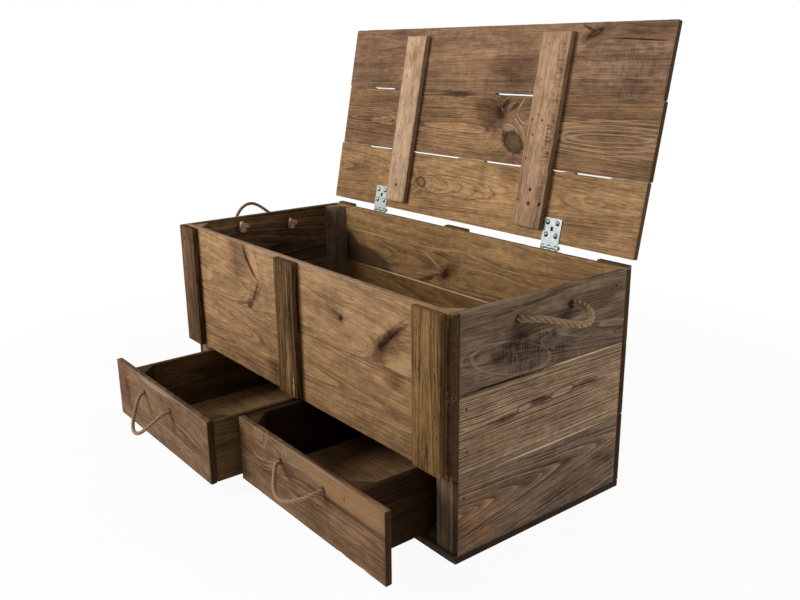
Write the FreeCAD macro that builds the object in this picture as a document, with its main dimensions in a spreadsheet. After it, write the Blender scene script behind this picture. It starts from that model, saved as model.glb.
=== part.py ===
"""Mule chest: a boarded trunk with a plank lid over two drawers side by side.

Frame: +X to the right end, +Y to the back, +Z up, millimetres.  The origin is
the middle of the base board's underside.  The rest pose has the lid standing
open and both drawers pulled out.
"""
import FreeCAD, Part
import math
import os
import re

import Sketcher
from FreeCAD import Placement, Rotation, Vector

doc = FreeCAD.newDocument("MuleChest")

# ---------------------------------------------------------------- dimensions
DIMENSIONS = {
    "chest_width": 960, "chest_depth": 446, "chest_height": 450,
    "board_thick": 14, "base_proud": 5.5, "seam_gap": 1,
    "lower_seam": 158, "end_seam": 308, "front_seam": 306, "back_seam": 304,
    "batten_thick": 14, "front_batten_foot": 163, "back_batten_top": 452.6,
    "post_leg": 42, "post_top": 447,
    "cleat_side": 18, "floor_thick": 8, "floor_corner": 44,
    "runner_top": 21.7, "runner_width": 24, "guide_width": 22, "guide_top": 38,
    "guide_inner_face": 402, "centre_guide": 6, "runner_run": 414,
    "lid_under": 451.8, "lid_rear": 217.6, "lid_thick": 12, "lid_open_angle": 101.3,
    "hinge_pin_y": 227.2, "hinge_pin_z": 454.4, "barrel_radius": 4.2, "pin_radius": 2,
    "leaf_thick": 1.6, "leaf_width": 47, "leaf_reach": 49.2, "screw_radius": 1.8,
    "screw_pitch": 25.6, "screw_inset": 14.6, "screw_length": 12.4,
    "screw_head_radius": 5.8, "screw_head_rise": 3.0, "leaf_window": 7.0, "leaf_window_high": 8.6,
    "knuckle_gap": 0.3, "turning_clearance": 0.3,
    "nail_radius": 1.2, "nail_length": 24, "nail_head_radius": 2.6, "nail_head_rise": 0.8,
    "left_pull": 200, "right_pull": 138,
    "left_inner_face": 8, "right_inner_face": 4, "left_front_end": 474, "right_front_end": 478,
    "drawer_front_foot": 20, "drawer_front_top": 156,
    "drawer_outer_face": 398, "drawer_side_thick": 12,
    "drawer_side_foot": 22, "drawer_side_top": 153, "drawer_back_end": 195,
    "drawer_floor_foot": 26, "drawer_floor_thick": 5, "block_leg": 40,
    "right_end_rope": 12, "left_end_rope": 8, "drawer_rope": 8, "drawer_rope_height": 119,
    "rope_hole_clearance": 0.5,
}
sheet = doc.addObject("Spreadsheet::Sheet", "Dims")
for row, (alias, number) in enumerate(DIMENSIONS.items(), start=1):
    sheet.set(f"A{row}", alias)
    sheet.set(f"B{row}", str(number))
    sheet.setAlias(f"B{row}", alias)
doc.recompute()
size = {alias: float(sheet.get(alias)) for alias in DIMENSIONS}

# Where the boards' faces lie, as expressions of the sheet's cells.
HALF_WIDTH = "(chest_width / 2)"
HALF_DEPTH = "(chest_depth / 2)"
END_INSIDE = "(chest_width / 2 - board_thick)"
EDGE_LINE = "(chest_depth / 2 - board_thick)"

nodes = {}      # the finished sub-parts, by the name of their file


def cells(expression):
    """Write the sheet's name before every alias; every alias holds an underscore."""
    return re.sub(r"\b([a-z]+_\w+)\b", r"Dims.\1", expression)


def keep(piece, name):
    """Label a finished piece and list it as a node."""
    piece.Label = name
    nodes[name] = piece
    return piece


def plank(name, along, across, up):
    """A board from its (low, high) faces on X, Y and Z, each an expression."""
    board = doc.addObject("Part::Box", name)
    for prop, axis, (low, high) in zip(("Length", "Width", "Height"), "xyz", (along, across, up)):
        board.setExpression(prop, cells(f"({high}) - ({low})"))
        board.setExpression(f"Placement.Base.{axis}", cells(low))
    return board


def rod(name, radius, length, foot, direction):
    """A cylinder whose radius and length are expressions, from foot along direction."""
    cylinder = doc.addObject("Part::Cylinder", name)
    cylinder.setExpression("Radius", cells(radius))
    cylinder.setExpression("Height", cells(length))
    cylinder.Placement = Placement(foot, Rotation(Vector(0, 0, 1), direction))
    return cylinder


def joined(name, pieces):
    """Several touching solids as one."""
    fusion = doc.addObject("Part::MultiFuse", name)
    fusion.Shapes = pieces
    fusion.Refine = True
    return fusion


def grouped(name, pieces):
    """Several separate solids that share one node."""
    group = doc.addObject("Part::Compound", name)
    group.Links = pieces
    return group


def drilled(name, blank, tools):
    """A blank with one or more holes or notches cut from it."""
    tool = tools[0] if len(tools) == 1 else grouped(name + "_tools", tools)
    cut = doc.addObject("Part::Cut", name)
    cut.Base = blank
    cut.Tool = tool
    return cut


def fastener(shank_radius, shank_length, head_radius, head_rise, domed):
    """A screw or nail with its head's underside at z = 0 and its shank along -Z."""
    shank = Part.makeCylinder(shank_radius, shank_length, Vector(0, 0, -shank_length))
    if domed:
        ball = (head_radius ** 2 + head_rise ** 2) / (2 * head_rise)
        head = Part.makeSphere(ball, Vector(0, 0, head_rise - ball))
        cover = Part.makeBox(4 * ball, 4 * ball, 4 * ball, Vector(-2 * ball, -2 * ball, 0))
        head = head.common(cover)
    else:
        head = Part.makeCylinder(head_radius, head_rise)
    return shank.fuse(head).removeSplitter()


def driven(name, pattern, seats):
    """Copies of one fastener as a group, each seat a (point, outward direction)."""
    copies = []
    for point, outward in seats:
        copy = pattern.copy()
        copy.Placement = Placement(point, Rotation(Vector(0, 0, 1), outward))
        copies.append(copy)
    group = doc.addObject("Part::Feature", name)
    group.Shape = Part.makeCompound(copies)
    return group


def shank_holes(name, radius, length, seats):
    """The straight holes that a group of fasteners leaves in the wood and the metal."""
    bores = [Part.makeCylinder(radius, length, point, -outward) for point, outward in seats]
    holes = doc.addObject("Part::Feature", name)
    holes.Shape = Part.makeCompound(bores)
    return holes


def triangle_post(name, leg, foot, top):
    """A three-sided post with its right angle at the origin and legs along +X and +Y."""
    body = doc.addObject("PartDesign::Body", name)
    plane = [f for f in body.Origin.OriginFeatures if f.Role == "XY_Plane"][0]
    sketch = body.newObject("Sketcher::SketchObject", name + "_outline")
    sketch.AttachmentSupport = [(plane, "")]
    sketch.MapMode = "FlatFace"
    corner, x_tip, y_tip = Vector(0, 0, 0), Vector(20, 0, 0), Vector(0, 20, 0)
    for start, end in ((corner, x_tip), (x_tip, y_tip), (y_tip, corner)):
        sketch.addGeometry(Part.LineSegment(start, end), False)
    for line in range(3):
        sketch.addConstraint(Sketcher.Constraint("Coincident", line, 2, (line + 1) % 3, 1))
    sketch.addConstraint(Sketcher.Constraint("Coincident", 0, 1, -1, 1))
    sketch.addConstraint(Sketcher.Constraint("Horizontal", 0))
    sketch.addConstraint(Sketcher.Constraint("Vertical", 2))
    for line in (0, 2):
        number = sketch.addConstraint(Sketcher.Constraint("Distance", line, 20))
        sketch.setExpression(f"Constraints[{number}]", cells(leg))
    pad = body.newObject("PartDesign::Pad", name + "_pad")
    pad.Profile = sketch
    pad.setExpression("Length", cells(f"({top}) - ({foot})"))
    body.Tip = pad
    body.setExpression("Placement.Base.z", cells(foot))
    return body


def four_posts(name, leg, foot, top, corners):
    """A post in each corner, turned so that its legs lie along the two walls.

    corners: x and y as expressions for the low and high corners."""
    (x_low, x_high), (y_low, y_high) = corners
    places = (("front_left", x_low, y_low, 0), ("front_right", x_high, y_low, 90),
              ("back_right", x_high, y_high, 180), ("back_left", x_low, y_high, 270))
    posts = {}
    for place, x, y, turn in places:
        post = triangle_post(f"{name}_{place}", leg, foot, top)
        post.Placement.Rotation = Rotation(Vector(0, 0, 1), turn)
        post.setExpression("Placement.Base.x", cells(x))
        post.setExpression("Placement.Base.y", cells(y))
        posts[place] = post
    return posts


# ------------------------------------------------------------------- carcass
keep(plank("base_board", (f"-{HALF_WIDTH}", HALF_WIDTH),
           (f"-{EDGE_LINE} - base_proud", HALF_DEPTH), ("0", "board_thick")), "base_board")

# Three boards to each end; the top board has two holes for its rope handle.
END_LEVELS = {
    "lower": ("board_thick", "lower_seam - seam_gap / 2"),
    "middle": ("lower_seam + seam_gap / 2", "end_seam - seam_gap / 2"),
    "upper": ("end_seam + seam_gap / 2", "chest_height"),
}
END_SPANS = {"left": (f"-{HALF_WIDTH}", f"-{END_INSIDE}"), "right": (END_INSIDE, HALF_WIDTH)}
END_OUTWARD = {"left": Vector(-1, 0, 0), "right": Vector(1, 0, 0)}
# The rope holes' Y and Z, front hole first; the left end's were bored less level.
END_ROPE_HOLES = {"left": ((-80, 426), (60, 417)), "right": ((-76, 415), (64, 415))}


def end_rope_seats(side):
    """Where an end's rope passes the outer face of its top board."""
    x = END_OUTWARD[side].x * size["chest_width"] / 2
    return [Vector(x, y, z) for y, z in END_ROPE_HOLES[side]]


for side, span in END_SPANS.items():
    for level, rise in END_LEVELS.items():
        name = f"end_board_{side}_{level}"
        if level != "upper":
            keep(plank(name, span, (f"-{EDGE_LINE}", EDGE_LINE), rise), name)
            continue
        blank = plank(name + "_blank", span, (f"-{EDGE_LINE}", EDGE_LINE), rise)
        holes = [rod(f"{name}_hole_{number}", f"{side}_end_rope / 2 + rope_hole_clearance", "board_thick",
                     seat, -END_OUTWARD[side])
                 for number, seat in enumerate(end_rope_seats(side))]
        keep(drilled(name, blank, holes), name)

# Nails: two through each batten into each board that it crosses.
FRONT_BOARDS = {
    "front_board_middle": ("lower_seam", "front_seam - seam_gap / 2"),
    "front_board_upper": ("front_seam + seam_gap / 2", "chest_height"),
}
BACK_BOARDS = {
    "back_board_lower": ("board_thick", "lower_seam - seam_gap / 2"),
    "back_board_middle": ("lower_seam + seam_gap / 2", "back_seam - seam_gap / 2"),
    "back_board_upper": ("back_seam + seam_gap / 2", "chest_height"),
}
FRONT_BATTENS = {"left": (-480, -411), "centre": (-46, 26), "right": (391, 465)}
BACK_BATTENS = {"left": (-480, -415), "centre": (-50, 25), "right": (396, 470)}
NAIL_EDGE = 17              # nail line to the batten's edge
FRONT_NAIL_HEIGHTS = (196, 270, 344, 420)
BACK_NAIL_HEIGHTS = (196, 270, 340, 405)

outer_face = size["chest_depth"] / 2 + size["batten_thick"]
nail = fastener(size["nail_radius"], size["nail_length"], size["nail_head_radius"],
                size["nail_head_rise"], domed=False)


def batten_nails(battens, heights, face, outward):
    """Seats of the nails on a set of upright battens."""
    seats = []
    for left, right in battens.values():
        for number, height in enumerate(heights):
            inset = NAIL_EDGE + 4 * (number % 2)
            for x in (left + inset, right - NAIL_EDGE):
                seats.append((Vector(x, face, height), outward))
    return seats


front_seats = batten_nails(FRONT_BATTENS, FRONT_NAIL_HEIGHTS, -outer_face, Vector(0, -1, 0))
back_seats = batten_nails(BACK_BATTENS, BACK_NAIL_HEIGHTS, outer_face, Vector(0, 1, 0))
keep(driven("carcass_nails", nail, front_seats + back_seats), "carcass_nails")
front_holes = shank_holes("front_nail_holes", size["nail_radius"], size["nail_length"], front_seats)
back_holes = shank_holes("back_nail_holes", size["nail_radius"], size["nail_length"], back_seats)

# Hinges: where their screws enter the back boards and, with the lid shut, the lid.
HINGE_MIDDLES = {"left": -296.5, "right": 273.5}


def leaf_screws(middle, place):
    """The four screw points of a leaf; place maps (x, distance from the knuckle side)."""
    half = size["screw_pitch"] / 2
    return [place(middle + side, size["screw_inset"] + along)
            for side in (-half, half) for along in (0, size["screw_pitch"])]


back_leaf_face = size["chest_depth"] / 2 + size["leaf_thick"]
lid_leaf_face = size["lid_under"] - size["leaf_thick"]
back_screw_seats, lid_screw_seats = [], []
for middle in HINGE_MIDDLES.values():
    points = leaf_screws(middle, lambda x, gap: Vector(x, back_leaf_face, size["hinge_pin_z"] - gap))
    back_screw_seats += [(point, Vector(0, 1, 0)) for point in points]
    points = leaf_screws(middle, lambda x, gap: Vector(x, size["lid_rear"] - gap, lid_leaf_face))
    lid_screw_seats += [(point, Vector(0, 0, -1)) for point in points]
back_screw_holes = shank_holes("back_screw_holes", size["screw_radius"], size["screw_length"],
                               back_screw_seats)
lid_screw_holes = shank_holes("lid_screw_holes", size["screw_radius"], size["screw_length"],
                              lid_screw_seats)

for name, rise in FRONT_BOARDS.items():
    blank = plank(name + "_blank", (f"-{HALF_WIDTH}", HALF_WIDTH), (f"-{HALF_DEPTH}", f"-{EDGE_LINE}"), rise)
    keep(drilled(name, blank, [front_holes]), name)
for name, rise in BACK_BOARDS.items():
    blank = plank(name + "_blank", (f"-{HALF_WIDTH}", HALF_WIDTH), (EDGE_LINE, HALF_DEPTH), rise)
    if name == "back_board_upper":
        blank = drilled(name + "_screwed", blank, [back_screw_holes])
    keep(drilled(name, blank, [back_holes]), name)

for place, (left, right) in FRONT_BATTENS.items():
    name = f"front_batten_{place}"
    blank = plank(name + "_blank", (str(left), str(right)),
                  (f"-{HALF_DEPTH} - batten_thick", f"-{HALF_DEPTH}"), ("front_batten_foot", "chest_height"))
    keep(drilled(name, blank, [front_holes]), name)
for place, (left, right) in BACK_BATTENS.items():
    name = f"back_batten_{place}"
    blank = plank(name + "_blank", (str(left), str(right)), (HALF_DEPTH, f"{HALF_DEPTH} + batten_thick"),
                  ("lower_seam", "back_batten_top"))
    keep(drilled(name, blank, [back_holes]), name)

for place, post in four_posts("corner_post", "post_leg", "board_thick", "post_top",
                              ((f"-{END_INSIDE}", END_INSIDE), (f"-{EDGE_LINE}", EDGE_LINE))).items():
    keep(post, f"corner_post_{place}")

# The trunk's floor lies on two cleats and is mitred round the posts.
cleat_span = (f"-{END_INSIDE} + post_leg", f"{END_INSIDE} - post_leg")
cleat_rise = ("lower_seam", "lower_seam + cleat_side")
keep(grouped("floor_cleats", [
    plank("floor_cleat_front", cleat_span, (f"-{EDGE_LINE}", f"-{EDGE_LINE} + cleat_side"), cleat_rise),
    plank("floor_cleat_back", cleat_span, (f"{EDGE_LINE} - cleat_side", EDGE_LINE), cleat_rise),
]), "floor_cleats")


def trunk_floor():
    """A rectangular panel with its four upright corners chamfered."""
    body = doc.addObject("PartDesign::Body", "trunk_floor")
    plane = [f for f in body.Origin.OriginFeatures if f.Role == "XY_Plane"][0]
    sketch = body.newObject("Sketcher::SketchObject", "trunk_floor_outline")
    sketch.AttachmentSupport = [(plane, "")]
    sketch.MapMode = "FlatFace"
    corners = [Vector(x, y, 0) for x, y in ((-90, -40), (90, -40), (90, 40), (-90, 40))]
    for number in range(4):
        sketch.addGeometry(Part.LineSegment(corners[number], corners[(number + 1) % 4]), False)
    for number in range(4):
        sketch.addConstraint(Sketcher.Constraint("Coincident", number, 2, (number + 1) % 4, 1))
        direction = "Horizontal" if number % 2 == 0 else "Vertical"
        sketch.addConstraint(Sketcher.Constraint(direction, number))
    sketch.addConstraint(Sketcher.Constraint("Symmetric", 0, 1, 1, 2, -1, 1))
    for line, length in ((0, f"2 * {END_INSIDE}"), (1, f"2 * {EDGE_LINE}")):
        number = sketch.addConstraint(Sketcher.Constraint("Distance", line, 80))
        sketch.setExpression(f"Constraints[{number}]", cells(length))
    pad = body.newObject("PartDesign::Pad", "trunk_floor_pad")
    pad.Profile = sketch
    pad.setExpression("Length", cells("floor_thick"))
    doc.recompute()
    upright = [f"Edge{number}" for number, edge in enumerate(pad.Shape.Edges, start=1)
               if abs(edge.tangentAt(edge.FirstParameter).z) > 0.9]
    chamfer = body.newObject("PartDesign::Chamfer", "trunk_floor_corners")
    chamfer.Base = (pad, upright)
    chamfer.setExpression("Size", cells("floor_corner"))
    body.Tip = chamfer
    body.setExpression("Placement.Base.z", cells("lower_seam + cleat_side"))
    return body


keep(trunk_floor(), "trunk_floor")

# Runners that carry the drawers' sides, and guides that keep them straight.
run = (f"-{EDGE_LINE} + 1", f"-{EDGE_LINE} + 1 + runner_run")
runners = [plank("runner_middle", ("-20", "20"), run, ("board_thick", "runner_top"))]
guides = [plank("guide_middle", ("-centre_guide / 2", "centre_guide / 2"), run, ("runner_top", "guide_top"))]
for side, low, high in (("left", "-guide_inner_face", "-guide_inner_face + runner_width"),
                        ("right", "guide_inner_face - runner_width", "guide_inner_face")):
    runners.append(plank(f"runner_{side}", (low, high), run, ("board_thick", "runner_top")))
for side, low, high in (("left", "-guide_inner_face - guide_width", "-guide_inner_face"),
                        ("right", "guide_inner_face", "guide_inner_face + guide_width")):
    guides.append(plank(f"guide_{side}", (low, high), run, ("board_thick", "guide_top")))
keep(grouped("drawer_runners", runners), "drawer_runners")
keep(grouped("drawer_guides", guides), "drawer_guides")

# ------------------------------------------------------------------- drawers
PULLS = {"left": "left_pull", "right": "right_pull"}
ROPE_HOLES = {"left": (-318, -183), "right": (161.5, 302.5)}


def drawer_span(side, near, far):
    """A span across X, given as distances from the middle of the chest."""
    return (near, far) if side == "right" else (f"-({far})", f"-({near})")


def drawer_rope_seats(side):
    """Where a drawer's rope passes the outer face of its front."""
    y = -size["chest_depth"] / 2 - size[PULLS[side]]
    return [Vector(x, y, size["drawer_rope_height"]) for x in ROPE_HOLES[side]]


for side, pull in PULLS.items():
    stem = f"drawer_{side}"
    face = (f"-{HALF_DEPTH} - {pull}", f"-{EDGE_LINE} - {pull}")
    depth = (f"-{EDGE_LINE} - {pull}", f"drawer_back_end - {pull}")
    side_rise = ("drawer_side_foot", "drawer_side_top")
    near_wall = f"{side}_inner_face + drawer_side_thick"
    far_wall = "drawer_outer_face - drawer_side_thick"
    blank = plank(stem + "_front_blank", drawer_span(side, f"{side}_inner_face", f"{side}_front_end"), face,
                  ("drawer_front_foot", "drawer_front_top"))
    holes = [rod(f"{stem}_hole_{number}", "drawer_rope / 2 + rope_hole_clearance", "board_thick",
                 seat, Vector(0, 1, 0))
             for number, seat in enumerate(drawer_rope_seats(side))]
    keep(drilled(stem + "_front", blank, holes), stem + "_front")
    keep(plank(stem + "_inner_side", drawer_span(side, f"{side}_inner_face", near_wall), depth, side_rise),
         stem + "_inner_side")
    keep(plank(stem + "_outer_side", drawer_span(side, far_wall, "drawer_outer_face"), depth, side_rise),
         stem + "_outer_side")
    back = (f"drawer_back_end - drawer_side_thick - {pull}", f"drawer_back_end - {pull}")
    keep(plank(stem + "_back", drawer_span(side, near_wall, far_wall), back, side_rise), stem + "_back")
    keep(plank(stem + "_bottom", drawer_span(side, near_wall, far_wall),
               (depth[0], back[0]), ("drawer_floor_foot", "drawer_floor_foot + drawer_floor_thick")),
         stem + "_bottom")
    blocks = four_posts(stem + "_block", "block_leg", "drawer_floor_foot + drawer_floor_thick",
                        "drawer_side_top", (drawer_span(side, near_wall, far_wall), (depth[0], back[0])))
    keep(grouped(stem + "_corner_blocks", list(blocks.values())), stem + "_corner_blocks")

# ----------------------------------------------------------------------- lid
# The lid is drawn shut, then swung back about the hinge pins.
swing = Placement(Vector(0, 0, 0), Rotation(Vector(1, 0, 0), -size["lid_open_angle"]),
                  Vector(0, size["hinge_pin_y"], size["hinge_pin_z"]))
# Distances from the lid's rear edge, and the boards' ends across the chest.
LID_BOARDS = {
    "lid_board_rear": ((0, 144.8), (-499, 480)),
    "lid_board_middle": ((145.4, 292.7), (-493, 482)),
    "lid_board_front": ((293.2, 436.2), (-496, 480)),
}
# Stretches of a board's far edge that are hollow, so that a slit lets light through:
# (left, right, width).
LID_SLITS = {
    "lid_board_middle": ((-384, -310, 3.2), (54, 164, 3.6)),
    "lid_board_rear": ((-379, -290, 2.2), (-197, -42, 2.6), (48, 158, 2.6), (249, 271, 1.8), (307, 391, 2.4)),
}
LID_BATTENS = {"left": ((18, 416), (-265, -194)), "right": ((21, 419), (172, 249))}


def lid_distance(distance):
    """The Y expression of a line on the shut lid, from its distance to the rear edge."""
    return f"lid_rear - {distance}"


def swung(piece):
    """Open the lid: carry a piece drawn shut to where it stands."""
    piece.Placement = swing.multiply(piece.Placement)
    return piece


lid_nail_seats = []
for reach, (left, right) in LID_BATTENS.values():
    for number, distance in enumerate((38, 108, 178, 252, 322, 394)):
        inset = NAIL_EDGE + 5 * (number % 2)
        for x in (left + inset, right - NAIL_EDGE):
            y = size["lid_rear"] - distance
            seat = Vector(x, y, size["lid_under"] - size["batten_thick"])
            lid_nail_seats.append((seat, Vector(0, 0, -1)))
lid_nail_holes = shank_holes("lid_nail_holes", size["nail_radius"], size["nail_length"], lid_nail_seats)
keep(swung(driven("lid_nails", nail, lid_nail_seats)), "lid_nails")

for name, ((near, far), (left, right)) in LID_BOARDS.items():
    blank = plank(name + "_blank", (str(left), str(right)), (lid_distance(far), lid_distance(near)),
                  ("lid_under", "lid_under + lid_thick"))
    if name == "lid_board_rear":
        blank = drilled(name + "_screwed", blank, [lid_screw_holes])
    if name in LID_SLITS:
        through = ("lid_under", "lid_under + lid_thick")
        notches = [plank(f"{name}_slit_{number}", (str(start), str(end)),
                         (lid_distance(far), lid_distance(far - wide)), through)
                   for number, (start, end, wide) in enumerate(LID_SLITS[name])]
        blank = drilled(name + "_slit", blank, notches)
    keep(swung(drilled(name, blank, [lid_nail_holes])), name)

for place, ((near, far), (left, right)) in LID_BATTENS.items():
    name = f"lid_batten_{place}"
    blank = plank(name + "_blank", (str(left), str(right)), (lid_distance(far), lid_distance(near)),
                  ("lid_under - batten_thick", "lid_under"))
    keep(swung(drilled(name, blank, [lid_nail_holes])), name)

# -------------------------------------------------------------------- hinges
KNUCKLES = 5            # the fixed leaf rolls the outer and middle ones, the lid's leaf the others
FIXED_KNUCKLES, MOVING_KNUCKLES = (0, 2, 4), (1, 3)


def knuckles(name, middle, numbers):
    """The rolled barrels of one leaf, along the pin's axis."""
    pitch = size["leaf_width"] / KNUCKLES
    rolls = []
    for number in numbers:
        start = middle - size["leaf_width"] / 2 + number * pitch
        foot = Vector(start, size["hinge_pin_y"], size["hinge_pin_z"])
        rolls.append(rod(f"{name}_roll_{number}", "barrel_radius", f"leaf_width / {KNUCKLES} - knuckle_gap",
                         foot, Vector(1, 0, 0)))
    return rolls


def barrel_clearance(name, middle, numbers):
    """What is cut from a leaf so that the other leaf's rolls can turn."""
    pitch = size["leaf_width"] / KNUCKLES
    first = middle - size["leaf_width"] / 2 - size["knuckle_gap"]
    return [rod(f"{name}_space_{number}", "barrel_radius + turning_clearance + leaf_thick",
                f"leaf_width / {KNUCKLES} + knuckle_gap",
                Vector(first + number * pitch, size["hinge_pin_y"], size["hinge_pin_z"]), Vector(1, 0, 0))
            for number in numbers]


for side, middle in HINGE_MIDDLES.items():
    across = (f"{middle} - leaf_width / 2", f"{middle} + leaf_width / 2 - knuckle_gap")
    window = (f"{middle} - leaf_window / 2", f"{middle} + leaf_window / 2")
    bore_foot = Vector(middle - size["leaf_width"] / 2, size["hinge_pin_y"], size["hinge_pin_z"])

    name = f"hinge_lower_leaf_{side}"
    plate = plank(name + "_plate", across, (HALF_DEPTH, f"{HALF_DEPTH} + leaf_thick"),
                  ("hinge_pin_z - leaf_reach", "hinge_pin_z"))
    plate = drilled(name + "_cleared", plate, barrel_clearance(name, middle, MOVING_KNUCKLES))
    leaf = joined(name + "_rolled", [plate] + knuckles(name, middle, FIXED_KNUCKLES))
    bore = rod(name + "_bore", "pin_radius", "leaf_width", bore_foot, Vector(1, 0, 0))
    square = plank(name + "_window", window, (HALF_DEPTH, f"{HALF_DEPTH} + leaf_thick"),
                   ("hinge_pin_z - screw_inset - screw_pitch / 2 - leaf_window_high / 2",
                    "hinge_pin_z - screw_inset - screw_pitch / 2 + leaf_window_high / 2"))
    leaf = drilled(name + "_bored", leaf, [bore])
    leaf = drilled(name + "_windowed", leaf, [square])
    keep(drilled(name, leaf, [back_screw_holes]), name)

    name = f"hinge_upper_leaf_{side}"
    plate = plank(name + "_plate", across, ("lid_rear - leaf_reach", "hinge_pin_y"),
                  ("lid_under - leaf_thick", "lid_under"))
    plate = drilled(name + "_cleared", plate, barrel_clearance(name, middle, FIXED_KNUCKLES))
    leaf = joined(name + "_rolled", [plate] + knuckles(name, middle, MOVING_KNUCKLES))
    bore = rod(name + "_bore", "pin_radius + turning_clearance / 5", "leaf_width", bore_foot, Vector(1, 0, 0))
    square = plank(name + "_window", window,
                   ("lid_rear - screw_inset - screw_pitch / 2 - leaf_window_high / 2",
                    "lid_rear - screw_inset - screw_pitch / 2 + leaf_window_high / 2"),
                   ("lid_under - leaf_thick", "lid_under"))
    leaf = drilled(name + "_bored", leaf, [bore])
    leaf = drilled(name + "_windowed", leaf, [square])
    keep(swung(drilled(name, leaf, [lid_screw_holes])), name)

PIN_PROUD = 1.2         # how far each pin stands out of its outer rolls
pins = [rod(f"hinge_pin_{side}", "pin_radius", f"leaf_width + {2 * PIN_PROUD}",
            Vector(middle - size["leaf_width"] / 2 - PIN_PROUD, size["hinge_pin_y"], size["hinge_pin_z"]),
            Vector(1, 0, 0))
        for side, middle in HINGE_MIDDLES.items()]
keep(grouped("hinge_pins", pins), "hinge_pins")
screw = fastener(size["screw_radius"], size["screw_length"], size["screw_head_radius"],
                 size["screw_head_rise"], domed=True)
keep(driven("hinge_screws_back", screw, back_screw_seats), "hinge_screws_back")
keep(swung(driven("hinge_screws_lid", screw, lid_screw_seats)), "hinge_screws_lid")

# -------------------------------------------------------------- rope handles
# Knot radius and knot length over rope diameter; the left end's thinner rope is tied double.
KNOT_RATIOS = {"right_end_rope": (1.12, 1.6), "left_end_rope": (1.65, 2.3), "drawer_rope": (1.12, 1.6)}


def knot_body(name, rope, seat, inward):
    """A stub of rope through the board with a rounded stopper knot behind it.

    rope: alias of the rope's diameter; seat: where the rope meets the outer face."""
    body = doc.addObject("PartDesign::Body", name)
    plane = [f for f in body.Origin.OriginFeatures if f.Role == "XZ_Plane"][0]
    sketch = body.newObject("Sketcher::SketchObject", name + "_profile")
    sketch.AttachmentSupport = [(plane, "")]
    sketch.MapMode = "FlatFace"
    radius_ratio, length_ratio = KNOT_RATIOS[rope]
    thin, thick = size[rope] / 2, radius_ratio * size[rope]
    wall, end = size["board_thick"], size["board_thick"] + length_ratio * size[rope]
    outline = [(0, 0), (thin, 0), (thin, wall), (thick, wall), (thick, end), (0, end)]
    corners = [Vector(x, y, 0) for x, y in outline]
    for number, corner in enumerate(corners):
        sketch.addGeometry(Part.LineSegment(corner, corners[(number + 1) % len(corners)]), False)
    for number in range(len(corners)):
        following = (number + 1) % len(corners)
        sketch.addConstraint(Sketcher.Constraint("Coincident", number, 2, following, 1))
        direction = "Horizontal" if number % 2 == 0 else "Vertical"
        sketch.addConstraint(Sketcher.Constraint(direction, number))
    sketch.addConstraint(Sketcher.Constraint("Coincident", 0, 1, -1, 1))
    lengths = ((0, f"{rope} / 2"), (1, "board_thick"), (3, f"{length_ratio} * {rope}"),
               (4, f"{radius_ratio} * {rope}"))
    for line, length in lengths:
        number = sketch.addConstraint(Sketcher.Constraint("Distance", line, thin))
        sketch.setExpression(f"Constraints[{number}]", cells(length))
    turned = body.newObject("PartDesign::Revolution", name + "_turned")
    turned.Profile = sketch
    turned.ReferenceAxis = (sketch, ["V_Axis"])
    turned.Angle = 360
    doc.recompute()
    rims = [f"Edge{number}" for number, edge in enumerate(turned.Shape.Edges, start=1)
            if isinstance(edge.Curve, Part.Circle) and abs(edge.Curve.Radius - thick) < 0.01]
    rounded = body.newObject("PartDesign::Fillet", name + "_rounded")
    rounded.Base = (turned, rims)
    rounded.setExpression("Radius", cells(f"0.45 * {rope}"))
    body.Tip = rounded
    body.Placement = Placement(seat, Rotation(Vector(0, 0, 1), inward))
    return body


def rope_route(points, diameter):
    """Straight runs joined by tangent arcs; prints the arcs' radii."""
    edges, radii = [], []
    start = points[0]
    for before, corner, after in zip(points, points[1:], points[2:]):
        towards, away = (corner - before), (after - corner)
        reach = 0.45 * min(towards.Length, away.Length)
        towards.normalize()
        away.normalize()
        half_turn = towards.getAngle(away) / 2
        radius = reach / math.tan(half_turn)
        bisector = away - towards
        bisector.normalize()
        arc_start, arc_end = corner - towards * reach, corner + away * reach
        arc_middle = corner + bisector * (radius / math.cos(half_turn) - radius)
        edges.append(Part.LineSegment(start, arc_start).toShape())
        edges.append(Part.Arc(arc_start, arc_middle, arc_end).toShape())
        radii.append(radius)
        start = arc_end
    edges.append(Part.LineSegment(start, points[-1]).toShape())
    route = Part.Wire(edges)
    print("  radii in diameters:", [round(radius / diameter, 1) for radius in radii])
    return route


def rope_tube(name, rope, points):
    """A rope of round section swept along its route."""
    diameter = size[rope]
    print(name)
    route = rope_route(points, diameter)
    path = doc.addObject("Part::Feature", name + "_route")
    path.Shape = route
    section = doc.addObject("Part::Circle", name + "_section")
    section.setExpression("Radius", cells(f"{rope} / 2"))
    section.Placement = Placement(points[0], Rotation(Vector(0, 0, 1), points[1] - points[0]))
    tube = doc.addObject("Part::Sweep", name)
    tube.Sections = [section]
    tube.Spine = (path, [f"Edge{number}" for number in range(1, len(route.Edges) + 1)])
    tube.Solid = True
    tube.Frenet = False
    doc.recompute()
    expected = math.pi * diameter ** 2 / 4 * route.Length
    print(f"  length {route.Length:.1f}, volume over section x length {tube.Shape.Volume / expected:.4f}")
    return tube


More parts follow.
